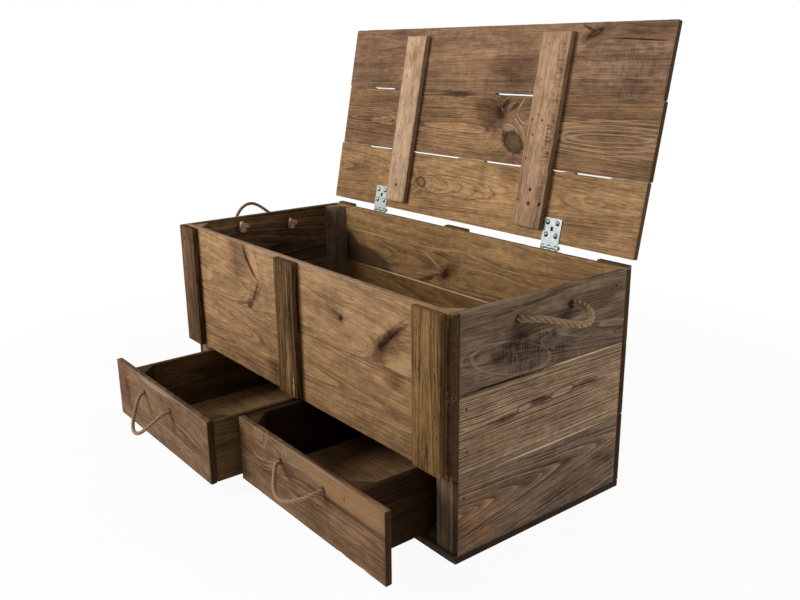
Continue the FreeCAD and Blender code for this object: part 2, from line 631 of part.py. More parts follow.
# Points of each rope from one hole to the other: along the wall, outwards and up.
# The right loop droops, the left one stands up, and the drawers' loops hang.
END_ROUTES = {
    "right": ((-76, 12, 415), (-54, 33, 418), (-22, 56, 408), (12, 68, 400),
              (41, 60, 404), (59, 38, 413), (64, 14, 415)),
    "left": ((-80, 13, 426), (-72, 28, 441), (-45, 43, 463), (-14, 52, 469),
             (6, 43, 460), (35, 25, 432), (60, 14, 417)),
}
DRAWER_ROUTES = {
    "left": ((-318, 11, 119), (-303, 27, 100), (-278, 46, 82), (-247, 60, 69),
             (-216, 60, 73), (-196, 43, 94), (-183, 17, 119)),
    "right": ((161.5, 11, 119), (180, 25, 104), (206, 42, 93), (236, 50, 91),
              (265, 45, 97), (288, 30, 108), (302.5, 12, 119)),
}


def rope_handle(stem, rope, seats, inward, route):
    """A rope loop between two seats, with its two knots inside the board."""
    points = [seats[0]] + route + [seats[1]]
    keep(rope_tube(f"{stem}_rope", rope, points), f"{stem}_rope")
    knots = [knot_body(f"{stem}_knot_{number}", rope, seat, inward) for number, seat in enumerate(seats)]
    keep(grouped(f"{stem}_knots", knots), f"{stem}_knots")


for side, route in END_ROUTES.items():
    outward = END_OUTWARD[side]
    seats = end_rope_seats(side)
    points = [Vector(seats[0].x + outward.x * out, y, z) for y, out, z in route]
    rope_handle(f"handle_{side}", f"{side}_end_rope", seats, -outward, points)
for side, route in DRAWER_ROUTES.items():
    seats = drawer_rope_seats(side)
    points = [Vector(x, seats[0].y - out, z) for x, out, z in route]
    rope_handle(f"drawer_{side}_handle", "drawer_rope", seats, Vector(0, 1, 0), points)

# -------------------------------------------------------- check and write out
doc.recompute()
for item in doc.Objects:
    if "Invalid" in item.State or "Error" in item.State:
        raise RuntimeError(f"{item.Label} failed: {item.State}")
for name, piece in nodes.items():
    if piece.Shape.isNull() or not piece.Shape.isValid() or not piece.Shape.Solids:
        raise RuntimeError(f"{name} has no valid solid")

os.makedirs("parts", exist_ok=True)
for name, piece in nodes.items():
    piece.Shape.exportStep(f"parts/{name}.step")
print(len(nodes), "sub-parts,", sum(len(piece.Shape.Solids) for piece in nodes.values()), "solids")
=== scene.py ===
import math
import random

import bmesh
import bpy
from mathutils import Matrix, Vector, noise


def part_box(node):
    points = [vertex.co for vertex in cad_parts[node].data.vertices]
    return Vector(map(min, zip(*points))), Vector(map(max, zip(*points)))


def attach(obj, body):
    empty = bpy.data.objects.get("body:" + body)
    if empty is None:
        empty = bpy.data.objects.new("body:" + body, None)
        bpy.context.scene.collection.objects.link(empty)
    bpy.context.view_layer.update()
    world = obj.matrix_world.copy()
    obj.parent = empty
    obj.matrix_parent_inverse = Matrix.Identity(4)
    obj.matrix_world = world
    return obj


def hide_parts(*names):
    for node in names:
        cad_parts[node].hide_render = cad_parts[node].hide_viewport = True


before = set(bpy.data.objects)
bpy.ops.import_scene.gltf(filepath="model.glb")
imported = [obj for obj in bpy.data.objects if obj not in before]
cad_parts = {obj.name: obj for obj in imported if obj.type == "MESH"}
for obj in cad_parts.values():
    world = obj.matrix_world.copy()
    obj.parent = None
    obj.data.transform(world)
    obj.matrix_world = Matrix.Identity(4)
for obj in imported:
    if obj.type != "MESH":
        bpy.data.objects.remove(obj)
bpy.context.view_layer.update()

# ---- Studio ------------------------------------------------------------------------------
# A pale floor without a horizon, one big soft lamp high on the left front, and an even
# room light all round. The camera stands to the right front, a little above the chest.

lens_mm, camera_place = 38.63, (1.4252, -1.0741, 0.8495)
camera_pan, camera_drop, camera_tilt = 0.90228, 0.28672, -0.01117
camera = bpy.data.objects.new("studio_camera", bpy.data.cameras.new("studio_camera"))
camera.data.lens, camera.data.sensor_width, camera.data.sensor_fit = lens_mm, 36.0, "HORIZONTAL"
camera.matrix_world = (Matrix.Translation(camera_place) @ Matrix.Rotation(camera_pan, 4, "Z")
                       @ Matrix.Rotation(math.pi / 2 - camera_drop, 4, "X")
                       @ Matrix.Rotation(camera_tilt, 4, "Z"))
bpy.context.scene.collection.objects.link(camera)
bpy.context.scene.camera = camera
bpy.context.scene.view_settings.view_transform = "Standard"


class Wiring:
    """Adds nodes to one shader tree; a value that is a socket is linked, any other is set."""

    def __init__(self, tree):
        self.tree = tree

    def add(self, kind, values=None, **options):
        node = self.tree.nodes.new(kind)
        for option, choice in options.items():
            setattr(node, option, choice)
        for socket, value in (values or {}).items():
            if isinstance(value, bpy.types.NodeSocket):
                self.tree.links.new(value, node.inputs[socket])
            elif value is not None:
                node.inputs[socket].default_value = value
        return node

    def calc(self, operation, first, second=None, third=None, clamp=False):
        values = {0: first, 1: second, 2: third}
        return self.add("ShaderNodeMath", values, operation=operation, use_clamp=clamp).outputs[0]

    def shift(self, operation, first, second):
        return self.add("ShaderNodeVectorMath", {0: first, 1: second}, operation=operation).outputs[0]

    def ramp(self, value, start, stop, low=0.0, high=1.0):
        """A smooth step of the value from start to stop."""
        values = {0: value, 1: start, 2: stop, 3: low, 4: high}
        return self.add("ShaderNodeMapRange", values, interpolation_type="SMOOTHSTEP").outputs[0]

    def tint(self, share, under, over, blend="MIX"):
        """Lays one colour over another by a share from 0 to 1."""
        values = {0: share, 6: under, 7: over}
        node = self.add("ShaderNodeMix", values, data_type="RGBA", blend_type=blend)
        return node.outputs[2]

    def cloud(self, place, scale, detail=2.0, rough=0.5, warp=0.0):
        values = {"Vector": place, "Scale": scale, "Detail": detail, "Roughness": rough,
                  "Distortion": warp}
        return self.add("ShaderNodeTexNoise", values).outputs[0]


def new_material(name):
    material = bpy.data.materials.new(name)
    material.use_nodes = True
    material.node_tree.nodes.clear()
    return material, Wiring(material.node_tree)


floor, wires = new_material("studio_floor")
light_path = wires.add("ShaderNodeLightPath").outputs
seen = wires.calc("MAXIMUM", light_path["Is Camera Ray"], light_path["Is Glossy Ray"])
seen = wires.calc("MAXIMUM", seen, light_path["Is Transmission Ray"])
place = wires.add("ShaderNodeTexCoord").outputs["Object"]
reach = wires.add("ShaderNodeVectorMath", {0: place}, operation="LENGTH").outputs["Value"]
paper = wires.add("ShaderNodeBsdfDiffuse", {"Color": (0.93, 0.93, 0.93, 1)}).outputs[0]
white = wires.add("ShaderNodeEmission", {"Color": (1, 1, 1, 1), "Strength": 1.0}).outputs[0]
lit_paper = wires.add("ShaderNodeMixShader", {0: 0.935, 1: paper, 2: white}).outputs[0]
near = wires.add("ShaderNodeMixShader", {0: seen, 1: paper, 2: lit_paper}).outputs[0]
far = wires.calc("MULTIPLY", wires.ramp(reach, 0.9, 1.7), seen)
blend = wires.add("ShaderNodeMixShader", {0: far, 1: near, 2: white}).outputs[0]
wires.add("ShaderNodeOutputMaterial", {"Surface": blend})
shape = bmesh.new()
bmesh.ops.create_grid(shape, x_segments=2, y_segments=2, size=14.0,
                      matrix=Matrix.Translation((0, 0, -0.0006)))
sheet = bpy.data.meshes.new("studio_floor")
shape.to_mesh(sheet)
shape.free()
sheet.materials.append(floor)
ground = bpy.data.objects.new("studio_floor", sheet)
bpy.context.scene.collection.objects.link(ground)

world = bpy.data.worlds.new("studio_room")
world.use_nodes = True
world.node_tree.nodes.clear()
wires = Wiring(world.node_tree)
light_path = wires.add("ShaderNodeLightPath").outputs
seen = wires.calc("MAXIMUM", light_path["Is Camera Ray"], light_path["Is Glossy Ray"])
seen = wires.calc("MAXIMUM", seen, light_path["Is Transmission Ray"])
room = wires.add("ShaderNodeBackground", {"Color": (1, 1, 1, 1), "Strength": 0.24}).outputs[0]
white = wires.add("ShaderNodeBackground", {"Color": (1, 1, 1, 1), "Strength": 1.0}).outputs[0]
blend = wires.add("ShaderNodeMixShader", {0: seen, 1: room, 2: white}).outputs[0]
wires.add("ShaderNodeOutputWorld", {"Surface": blend})
bpy.context.scene.world = world

for lamp_name, lamp_place, lamp_watts, lamp_width in (
        ("window_lamp", (-1.9, -3.1, 1.85), 128.0, 1.9),
        ("fill_lamp", (2.3, 1.5, 1.9), 31.0, 1.2)):
    lamp = bpy.data.lights.new(lamp_name, "AREA")
    lamp.shape, lamp.size, lamp.energy = "DISK", lamp_width, lamp_watts
    stand = bpy.data.objects.new(lamp_name, lamp)
    stand.location = lamp_place
    stand.rotation_euler = (Vector((0, 0, 0.25)) - stand.location).to_track_quat("-Z", "Y").to_euler()
    bpy.context.scene.collection.objects.link(stand)

# ---- Base board and end boards -----------------------------------------------------------
# Planed pine boards 145 mm wide and 14 mm thick, brown stain rubbed thin by wear. The base
# runs the whole length under the chest; three boards close each end, nailed to corner posts.


def shader_group(name, inputs, outputs):
    """A shader node group with named inputs and outputs; returns it, its wiring and sockets."""
    kinds = {"value": "NodeSocketFloat", "place": "NodeSocketVector", "colour": "NodeSocketColor"}
    group = bpy.data.node_groups.new(name, "ShaderNodeTree")
    for title, kind, start in inputs:
        group.interface.new_socket(name=title, in_out="INPUT", socket_type=kinds[kind]).default_value = start
    for title, kind in outputs:
        group.interface.new_socket(name=title, in_out="OUTPUT", socket_type=kinds[kind])
    wires = Wiring(group)
    return group, wires, wires.add("NodeGroupInput").outputs


def seeded(wires, given):
    """The grain place moved by the seed, so that no two boards share a pattern."""
    seed = wires.add("ShaderNodeCombineXYZ", {0: given["Seed"], 1: given["Seed"], 2: given["Seed"]}).outputs[0]
    return wires.shift("ADD", given["Grain"], seed)


origin, unit = (0.0, 0.0, 0.0), (1.0, 1.0, 1.0)

# How far a place on a board is from a spot's middle, 1 at its rim, with a ragged or bowed shape.
spot_group, wires, given = shader_group(
    "spot", [("Grain", "place", origin), ("Centre", "place", origin), ("Turn", "place", origin),
             ("Size", "place", unit), ("Bow", "value", 0.0), ("Ragged", "value", 0.2)], [("Reach", "value")])
local = wires.add("ShaderNodeMapping", {"Vector": given["Grain"], "Location": given["Centre"],
                                        "Rotation": given["Turn"], "Scale": given["Size"]},
                  vector_type="TEXTURE").outputs[0]
parts = wires.add("ShaderNodeSeparateXYZ", {0: local}).outputs
bowed = wires.calc("MULTIPLY", given["Bow"], wires.calc("SUBTRACT", 1.0, wires.calc("MULTIPLY", parts[0], parts[0])))
local = wires.add("ShaderNodeCombineXYZ", {0: parts[0], 1: wires.calc("SUBTRACT", parts[1], bowed), 2: parts[2]}).outputs[0]
length = wires.add("ShaderNodeVectorMath", {0: local}, operation="LENGTH").outputs["Value"]
edge = wires.cloud(wires.shift("ADD", wires.shift("MULTIPLY", local, (1.7, 1.7, 0.4)),
                               wires.shift("MULTIPLY", given["Centre"], (91.0, 57.0, 0.0))), 1.0, 4.0, 0.62)
edge = wires.calc("MULTIPLY", wires.calc("SUBTRACT", edge, 0.5), given["Ragged"])
wires.add("NodeGroupOutput", {"Reach": wires.calc("ADD", length, wires.calc("MULTIPLY", edge, 2.5))})

# The tree's yearly rings where the board cuts through them, wandering and bent round knots.
rings_group, wires, given = shader_group(
    "growth_rings", [("Grain", "place", origin), ("Pith", "place", origin), ("Seed", "value", 0.0),
                     ("Ring Width", "value", 0.004), ("Taper", "value", 0.02), ("Lean", "value", 0.0),
                     ("Wander", "value", 0.006), ("Bend", "value", 0.0)],
    [("Phase", "value"), ("Ring Tone", "value")])
lie = seeded(wires, given)
slow = wires.cloud(wires.shift("MULTIPLY", lie, (3.5, 13.0, 13.0)), 1.0, 2.0, 0.5)
quick = wires.cloud(wires.shift("MULTIPLY", lie, (16.0, 80.0, 80.0)), 1.0, 2.0, 0.5)
wander = wires.calc("MULTIPLY", wires.calc("SUBTRACT", slow, 0.5), given["Wander"])
shiver = wires.calc("MULTIPLY", wires.calc("SUBTRACT", quick, 0.5), 0.0016)
apart = wires.add("ShaderNodeSeparateXYZ", {0: wires.shift("SUBTRACT", given["Grain"], given["Pith"])}).outputs
beside = wires.calc("SUBTRACT", apart[1], wires.calc("MULTIPLY", apart[0], given["Lean"]))
beside = wires.calc("ADD", beside, wander)
radius = wires.calc("SQRT", wires.calc("ADD", wires.calc("MULTIPLY", beside, beside), wires.calc("MULTIPLY", apart[2], apart[2])))
radius = wires.calc("ADD", radius, wires.calc("MULTIPLY", apart[0], given["Taper"]))
for change in (wander, shiver, given["Bend"]):
    radius = wires.calc("ADD", radius, change)
count = wires.calc("DIVIDE", radius, given["Ring Width"])
uneven = wires.add("ShaderNodeTexNoise", {"W": wires.calc("MULTIPLY", count, 0.45), "Scale": 1.0, "Detail": 1.0},
                   noise_dimensions="1D").outputs[0]
count = wires.calc("ADD", count, wires.calc("MULTIPLY", uneven, 2.2))
tone = wires.add("ShaderNodeTexWhiteNoise", {"W": wires.calc("ADD", wires.calc("FLOOR", count), given["Seed"])},
                 noise_dimensions="1D").outputs[0]
wires.add("NodeGroupOutput", {"Phase": wires.calc("FRACT", count), "Ring Tone": tone})

# Stained, worn pine: blotches, streaks, fibres, ring lines, saw nicks, rubbed arrises, end grain.
face_group, wires, given = shader_group(
    "pine_face",
    [("Grain", "place", origin), ("Middle", "place", origin), ("Half", "place", unit), ("Seed", "value", 0.0),
     ("Phase", "value", 0.5), ("Ring Tone", "value", 0.5), ("Pale", "colour", (0.4, 0.3, 0.2, 1)),
     ("Deep", "colour", (0.2, 0.12, 0.06, 1)), ("Line", "colour", (0.5, 0.35, 0.2, 1)),
     ("Worn", "colour", (0.5, 0.4, 0.28, 1)), ("End", "colour", (0.1, 0.07, 0.04, 1)),
     ("Line Share", "value", 0.5), ("Blotch", "value", 1.0), ("Streak", "value", 0.5), ("Thread", "value", 0.5),
     ("Saw", "value", 0.0), ("Rim", "value", 0.0014)],
    [("Colour", "colour"), ("Rough", "value"), ("Height", "value"), ("End Share", "value"), ("End Tone", "colour")])
lie = seeded(wires, given)
patch = wires.ramp(wires.cloud(wires.shift("MULTIPLY", lie, (7.0, 26.0, 26.0)), 1.0, 3.0, 0.55, 0.6), 0.34, 0.66)
broad = wires.ramp(wires.cloud(wires.shift("MULTIPLY", lie, (3.0, 9.0, 9.0)), 1.0, 1.0, 0.5), 0.3, 0.7)
streak = wires.cloud(wires.shift("MULTIPLY", lie, (5.0, 240.0, 240.0)), 1.0, 3.0, 0.6)
thread = wires.cloud(wires.shift("MULTIPLY", lie, (10.0, 430.0, 430.0)), 1.0, 2.0, 0.6)
fibre = wires.cloud(wires.shift("MULTIPLY", lie, (26.0, 640.0, 640.0)), 1.0, 3.0, 0.7)
fleck = wires.cloud(wires.shift("MULTIPLY", lie, (110.0, 460.0, 460.0)), 1.0, 2.0, 0.5)
smudge = wires.cloud(wires.shift("MULTIPLY", lie, (46.0, 62.0, 62.0)), 1.0, 3.0, 0.6)
late = wires.calc("MULTIPLY", wires.ramp(given["Phase"], 0.56, 0.80), wires.ramp(given["Phase"], 0.90, 0.98, 1.0, 0.0))
early = wires.ramp(given["Phase"], 0.04, 0.34, 1.0, 0.0)
dusk = wires.calc("MULTIPLY", wires.calc("ADD", wires.calc("MULTIPLY", patch, 0.62), wires.calc("MULTIPLY", broad, 0.38)),
                  given["Blotch"])
dusk = wires.calc("ADD", dusk, wires.calc("MULTIPLY", wires.calc("SUBTRACT", streak, 0.5), given["Streak"]))
dusk = wires.calc("ADD", dusk, wires.calc("MULTIPLY", wires.calc("SUBTRACT", given["Ring Tone"], 0.5), 0.35))
dusk = wires.calc("ADD", dusk, wires.calc("MULTIPLY", wires.calc("MULTIPLY", early, given["Line Share"]), 0.75), clamp=True)
colour = wires.tint(dusk, given["Pale"], given["Deep"])
colour = wires.tint(wires.calc("MULTIPLY", late, given["Line Share"]), colour, given["Line"])
grey = wires.ramp(fibre, 0.28, 0.72, 0.70, 1.30)
grey = wires.calc("MULTIPLY", grey, wires.ramp(smudge, 0.25, 0.75, 1.16, 0.82))
grey = wires.calc("MULTIPLY", grey, wires.ramp(fleck, 0.60, 0.72, 1.0, 0.62))
strand = wires.calc("MULTIPLY", wires.ramp(thread, 0.56, 0.66), given["Thread"])
grey = wires.calc("MULTIPLY", grey, wires.calc("SUBTRACT", 1.0, strand))
nicks = wires.cloud(wires.shift("MULTIPLY", lie, (420.0, 34.0, 34.0)), 1.0, 2.0, 0.6)
nicks = wires.calc("MULTIPLY", wires.calc("MULTIPLY", wires.ramp(nicks, 0.47, 0.58), wires.ramp(smudge, 0.34, 0.54)),
                   given["Saw"])
grey = wires.calc("MULTIPLY", grey, wires.calc("SUBTRACT", 1.0, wires.calc("MULTIPLY", nicks, 0.58)))
dust = wires.add("ShaderNodeCombineColor", {0: grey, 1: grey, 2: grey}).outputs[0]
colour = wires.tint(1.0, colour, dust, "MULTIPLY")
off = wires.add("ShaderNodeVectorMath", {0: wires.shift("SUBTRACT", given["Grain"], given["Middle"])},
                operation="ABSOLUTE").outputs[0]
room = wires.add("ShaderNodeSeparateXYZ", {0: wires.shift("SUBTRACT", given["Half"], off)}).outputs
inner = wires.calc("MINIMUM", wires.calc("MAXIMUM", room[0], room[1]), wires.calc("MAXIMUM", room[1], room[2]))
inner = wires.calc("MINIMUM", inner, wires.calc("MAXIMUM", room[0], room[2]))
soil = wires.ramp(wires.calc("ADD", inner, wires.calc("MULTIPLY", smudge, 0.008)), 0.003, 0.011, 0.45, 0.0)
colour = wires.tint(soil, colour, given["Deep"])
rubbed = wires.calc("ADD", inner, wires.calc("MULTIPLY", wires.calc("SUBTRACT", smudge, 0.5), 0.005))
rim = wires.ramp(wires.calc("DIVIDE", rubbed, given["Rim"]), 0.35, 1.35, 0.85, 0.0)
colour = wires.tint(rim, colour, given["Worn"])
end = wires.ramp(room[0], 0.0006, 0.0016, 1.0, 0.0)
end_tone = wires.cloud(wires.shift("MULTIPLY", lie, (60.0, 130.0, 900.0)), 1.0, 3.0, 0.6)
end_tone = wires.tint(wires.ramp(end_tone, 0.42, 0.66, 0.0, 0.5), given["End"], given["Deep"])
height = wires.calc("ADD", wires.calc("MULTIPLY", fibre, 0.35), wires.calc("MULTIPLY", late, 0.5))
height = wires.calc("ADD", height, wires.calc("MULTIPLY", smudge, 0.7))
height = wires.calc("SUBTRACT", height, wires.calc("MULTIPLY", nicks, 0.9))
height = wires.calc("SUBTRACT", height, wires.calc("MULTIPLY", strand, 0.5))
rough = wires.calc("SUBTRACT", 0.76, wires.calc("MULTIPLY", late, 0.12))
wires.add("NodeGroupOutput", {"Colour": colour, "Rough": rough, "Height": height, "End Share": end,
                              "End Tone": end_tone})


def mark_or_painted_light(at, size, turn=0.0, share=0.6, shade=(0.45, 0.42, 0.42), soft=0.7, ragged=0.35, bow=0.0, blend="MULTIPLY",
          band=0.0, depth=0.011):
    """A soft or sharp patch on a board's face: a wood mark or a patch of painted light or shade; blend MIX lays its own
    colour on instead.
    """
    return dict(at=at, size=size, turn=turn, share=share, shade=shade, soft=soft, ragged=ragged, bow=bow, blend=blend,
                band=band, depth=depth)


def loop(at, size, turn=0.0, shade=(0.42, 0.28, 0.16), share=0.6, line=0.0012, ragged=0.15):
    """One ring line that runs round in a long oval, as where the saw grazed a yearly ring."""
    band = min(0.5, line / size[1])
    return mark_or_painted_light(at, size, turn, share, shade, band, ragged, 0.0, "MIX", band)


def ray(start, stop, width=0.0012, shade=(0.42, 0.28, 0.16), share=0.7, bow=0.0, blend="MIX"):
    """A thin line of one tone from one place on a face to another."""
    (along, across), (run, rise) = start, (stop[0] - start[0], stop[1] - start[1])
    return mark_or_painted_light((along + run / 2, across + rise / 2), (math.hypot(run, rise) / 2, width),
                 math.degrees(math.atan2(rise, run)), share, shade, 0.5, 0.5, bow, blend)


def crack(at, length, turn, width=0.0012, bow=0.0, share=0.85):
    return mark_or_painted_light(at, (length / 2, width), turn, share, (0.12, 0.09, 0.08), 0.35, 0.25, bow)


def nail_hole(at, across=0.0028):
    return mark_or_painted_light(at, (across, across), 0.0, 0.9, (0.10, 0.08, 0.07), 0.3, 0.15)


def knot(at, size, turn=0.0, bend=0.02, core=(0.16, 0.085, 0.04), dark=(0.035, 0.02, 0.012), turns=3.0, ringed=0.75,
         halo=2.2, halo_share=0.4, rim=0.8, crust=0.0022, cored=1.0, fade=0.94, ragged=0.18, spread=0.16):
    """A knot: the rings part round it, and its own fine rings show inside a dark rim."""
    return dict(at=at, size=size, turn=turn, bend=bend, core=core, dark=dark, turns=turns, ringed=ringed, halo=halo,
                halo_share=halo_share, rim=rim, crust=min(0.36, crust / size[1]), cored=cored, fade=fade,
                ragged=ragged, spread=spread)


def pine(name, tone, seed=0.0, deep=0.5, line=1.5, worn=1.45, end=0.20, pith=(0.0, 0.0, 0.0), ring=0.004, taper=0.02,
         lean=0.0, wander=0.012, line_share=0.5, blotch=0.8, streak=0.5, thread=0.3, saw=0.0, sawn=None, rim=0.0014, face=-0.007,
         knots=(), marks_and_painted_light=()):
    """A pine board's finish. Knots, wood marks and patches of painted light and shade sit at their places along and
    across one face.
    """
    material, wires = new_material(name)
    grain, middle, half = (wires.add("ShaderNodeAttribute", attribute_name=title).outputs["Vector"]
                           for title in ("grain", "middle", "half"))

    def dyed(*shares):
        return (*(min(1.0, part * share) for part, share in zip(tone, shares)), 1.0)

    def reach_of(mark):
        (along, across), (length, width) = mark["at"], mark["size"]
        return wires.add("ShaderNodeGroup", {
            "Grain": grain, "Centre": (along, across, face), "Turn": (0.0, 0.0, math.radians(mark["turn"])),
            "Size": (length, width, mark.get("depth", 0.011)), "Bow": mark.get("bow", 0.0) / width, "Ragged": mark["ragged"]},
            node_tree=spot_group).outputs[0]

    if sawn:
        saw = wires.ramp(reach_of(sawn), 1.0 - sawn["soft"], 1.1, sawn["share"], 0.0)
    bend, reaches = 0.0, []
    for mark in knots:
        reach = reach_of(mark)
        fall = wires.calc("MULTIPLY", wires.calc("MULTIPLY", reach, reach), -mark["spread"])
        bend = wires.calc("ADD", wires.calc("MULTIPLY", wires.calc("EXPONENT", fall), mark["bend"]), bend)
        reaches.append(reach)
    rings = wires.add("ShaderNodeGroup", {
        "Grain": grain, "Pith": pith, "Seed": seed, "Ring Width": ring, "Taper": taper, "Lean": lean,
        "Wander": wander, "Bend": bend}, node_tree=rings_group).outputs
    look = wires.add("ShaderNodeGroup", {
        "Grain": grain, "Middle": middle, "Half": half, "Seed": seed, "Phase": rings["Phase"],
        "Ring Tone": rings["Ring Tone"], "Pale": dyed(1.25, 1.25, 1.22), "Deep": dyed(deep, deep * 0.93, deep * 0.84),
        "Line": dyed(line, line * 1.01, line * 1.03), "Worn": dyed(worn, worn * 1.12, worn * 1.35),
        "End": dyed(end, end * 0.9, end * 0.8), "Line Share": line_share, "Blotch": blotch, "Streak": streak,
        "Thread": thread, "Saw": saw, "Rim": rim}, node_tree=face_group).outputs
    colour, rough, height = look["Colour"], look["Rough"], look["Height"]
    for mark in marks_and_painted_light:
        reach = reach_of(mark)
        share = wires.ramp(reach, 1.0 - mark["soft"], 1.0 + mark["soft"] * 0.35, mark["share"], 0.0)
        if mark["band"]:
            share = wires.ramp(reach, 1.0, 1.0 + mark["band"], mark["share"], 0.0)
            share = wires.calc("MULTIPLY", share, wires.ramp(reach, 1.0 - 1.2 * mark["band"], 1.0 - 0.3 * mark["band"]))
        colour = wires.tint(share, colour, (*mark["shade"], 1), mark["blend"])
    for mark, reach in zip(knots, reaches):
        if not mark["cored"]:
            continue
        core, dark = (*mark["core"], 1), (*mark["dark"], 1)
        colour = wires.tint(wires.ramp(reach, 0.8, mark["halo"], mark["halo_share"], 0.0), colour, dark)
        turns = wires.calc("FRACT", wires.calc("MULTIPLY", reach, mark["turns"]))
        inside = wires.tint(wires.ramp(turns, 0.45, 0.95, 0.0, mark["ringed"]), core, dark)
        colour = wires.tint(wires.ramp(reach, mark["fade"], 1.02, mark["cored"], 0.0), colour, inside)
        crust = wires.calc("MULTIPLY", wires.ramp(reach, 1.0 - mark["crust"], 1.0 - 0.2 * mark["crust"]),
                           wires.ramp(reach, 1.0, 1.0 + 0.8 * mark["crust"], mark["rim"], 0.0))
        colour = wires.tint(crust, colour, dark)
        height = wires.calc("SUBTRACT", height, wires.calc("MULTIPLY", crust, 0.8))
    colour = wires.tint(look["End Share"], colour, look["End Tone"])
    bump = wires.add("ShaderNodeBump", {"Strength": 0.75, "Distance": 0.0011, "Height": height}).outputs[0]
    body = wires.add("ShaderNodeBsdfPrincipled", {"Base Color": colour, "Roughness": rough, "Normal": bump,
                                                  "Specular IOR Level": 0.07})
    wires.add("ShaderNodeOutputMaterial", {"Surface": body.outputs[0]})
    return material


along_x, along_y, along_z, flat_x, flat_z = (0, 2, 1), (1, 2, 0), (2, 0, 1), (0, 1, 2), (2, 1, 0)


def settle(name, shape, material, crisp=math.radians(50)):
    """Turns a finished bmesh into an object at the origin, smooth but for its sharp edges."""
    bmesh.ops.recalc_face_normals(shape, faces=shape.faces)
    for face in shape.faces:
        face.smooth = True
    for edge in shape.edges:
        edge.smooth = edge.calc_face_angle(0.0) < crisp
    mesh = bpy.data.meshes.new(name)
    shape.to_mesh(mesh)
    shape.free()
    mesh.materials.append(material)
    piece = bpy.data.objects.new(name, mesh)
    bpy.context.scene.collection.objects.link(piece)
    return piece


def plank(low, high, lay, seed, wear=0.0013, ripple=0.0006, corner=0.0, shaved=(), notches=(), tight=False,
          turn=None):
    """A sawn board with worn arrises. lay names the axes along, across and through the grain;
    a notch (start, stop, depth) is planed out of its far edge; tight keeps its long edges straight."""
    low, high = Vector(low), Vector(high)
    middle, half = (low + high) / 2, (high - low) / 2
    inset = Vector((0.00012, 0.00012, 0.00012))
    shape = bmesh.new()
    bmesh.ops.create_cube(shape, size=2.0)
    bmesh.ops.scale(shape, vec=half - inset, verts=shape.verts)
    along, across, through = lay
    if corner:
        ends = [edge for edge in shape.edges
                if abs(edge.verts[0].co[through] - edge.verts[1].co[through]) > half[through]]
        bmesh.ops.bevel(shape, geom=ends, offset=corner, offset_type="OFFSET", segments=3, profile=0.5,
                        affect="EDGES", material=-1, clamp_overlap=True)
    for place, normal in shaved:
        cut = bmesh.ops.bisect_plane(shape, geom=shape.verts[:] + shape.edges[:] + shape.faces[:], dist=1e-6,
                                     plane_co=Vector(place) - middle, plane_no=normal, clear_outer=True)
        bmesh.ops.contextual_create(shape, geom=[part for part in cut["geom_cut"] if isinstance(part, bmesh.types.BMEdge)])
    normal = Vector((0, 0, 0))
    normal[along] = 1.0
    cuts = max(2, round(2 * half[along] / 0.016))
    stations = [-half[along] + 2 * half[along] * cut / cuts for cut in range(1, cuts)]
    for start, stop, _ in notches:
        stations += [spot - middle[along] for spot in (start - 0.012, start, stop, stop + 0.012)]
    for station in stations:
        place = normal * station
        bmesh.ops.bisect_plane(shape, geom=shape.verts[:] + shape.edges[:] + shape.faces[:], dist=1e-7,
                               plane_co=place, plane_no=normal)
    arris = [edge for edge in shape.edges if edge.calc_face_angle(0.0) > 0.7]
    bmesh.ops.bevel(shape, geom=arris, offset=min(wear, min(half) * 0.45), offset_type="OFFSET", segments=2, profile=0.5,
                    affect="EDGES", material=-1, clamp_overlap=True)
    for vert in shape.verts:
        here = vert.co.copy()
        for axis, other, most in ((across, through, 0.0 if tight else ripple), (through, across, ripple * 0.5)):
            side, flank = math.copysign(1.0, here[axis]), math.copysign(1.0, here[other])
            pull = 0.5 + 0.5 * noise.noise(Vector((here[along] * 11.0, seed * 7.3 + side * 3.1 + axis, flank * 1.7)))
            chip = max(0.0, noise.noise(Vector((here[along] * 60.0, seed * 3.7 + side * 5.0, flank * 9.0))) - 0.35)
            vert.co[axis] -= side * min(half[axis] * 0.3, most * pull + wear * 1.4 * chip)
        side = math.copysign(1.0, here[along])
        if half[along] - abs(here[along]) < 0.006:
            vert.co[along] -= side * ripple * (0.5 + 0.5 * noise.noise(
                Vector((here[across] * 30.0, here[through] * 60.0, seed + side * 4.0))))
        for start, stop, depth in notches:
            if here[across] > 0 and start - 0.001 < here[along] + middle[along] < stop + 0.001:
                vert.co[across] -= depth
    layers = [shape.verts.layers.float_vector.new(title) for title in ("grain", "middle", "half")]
    for vert in shape.verts:
        point = vert.co + middle
        vert[layers[0]] = Vector((point[along], point[across], vert.co[through]))
        vert[layers[1]] = Vector((middle[along], middle[across], 0.0))
        vert[layers[2]] = Vector((half[along], half[across], half[through]))
    bmesh.ops.translate(shape, vec=middle, verts=shape.verts)
    if turn:
        bmesh.ops.transform(shape, matrix=turn, verts=shape.verts)
    return shape


def dress(piece, body, slot, *nodes):
    """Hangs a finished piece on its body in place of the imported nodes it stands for."""
    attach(piece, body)
    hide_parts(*nodes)
    return piece


def fit_plank(node, lay, seed, material, body="carcass", slot="front_pine", **cut):
    """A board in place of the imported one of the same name, with the same corners."""
    low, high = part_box(node)
    return dress(settle("worn_" + node, plank(low, high, lay, seed, **cut), material), body, slot, node)
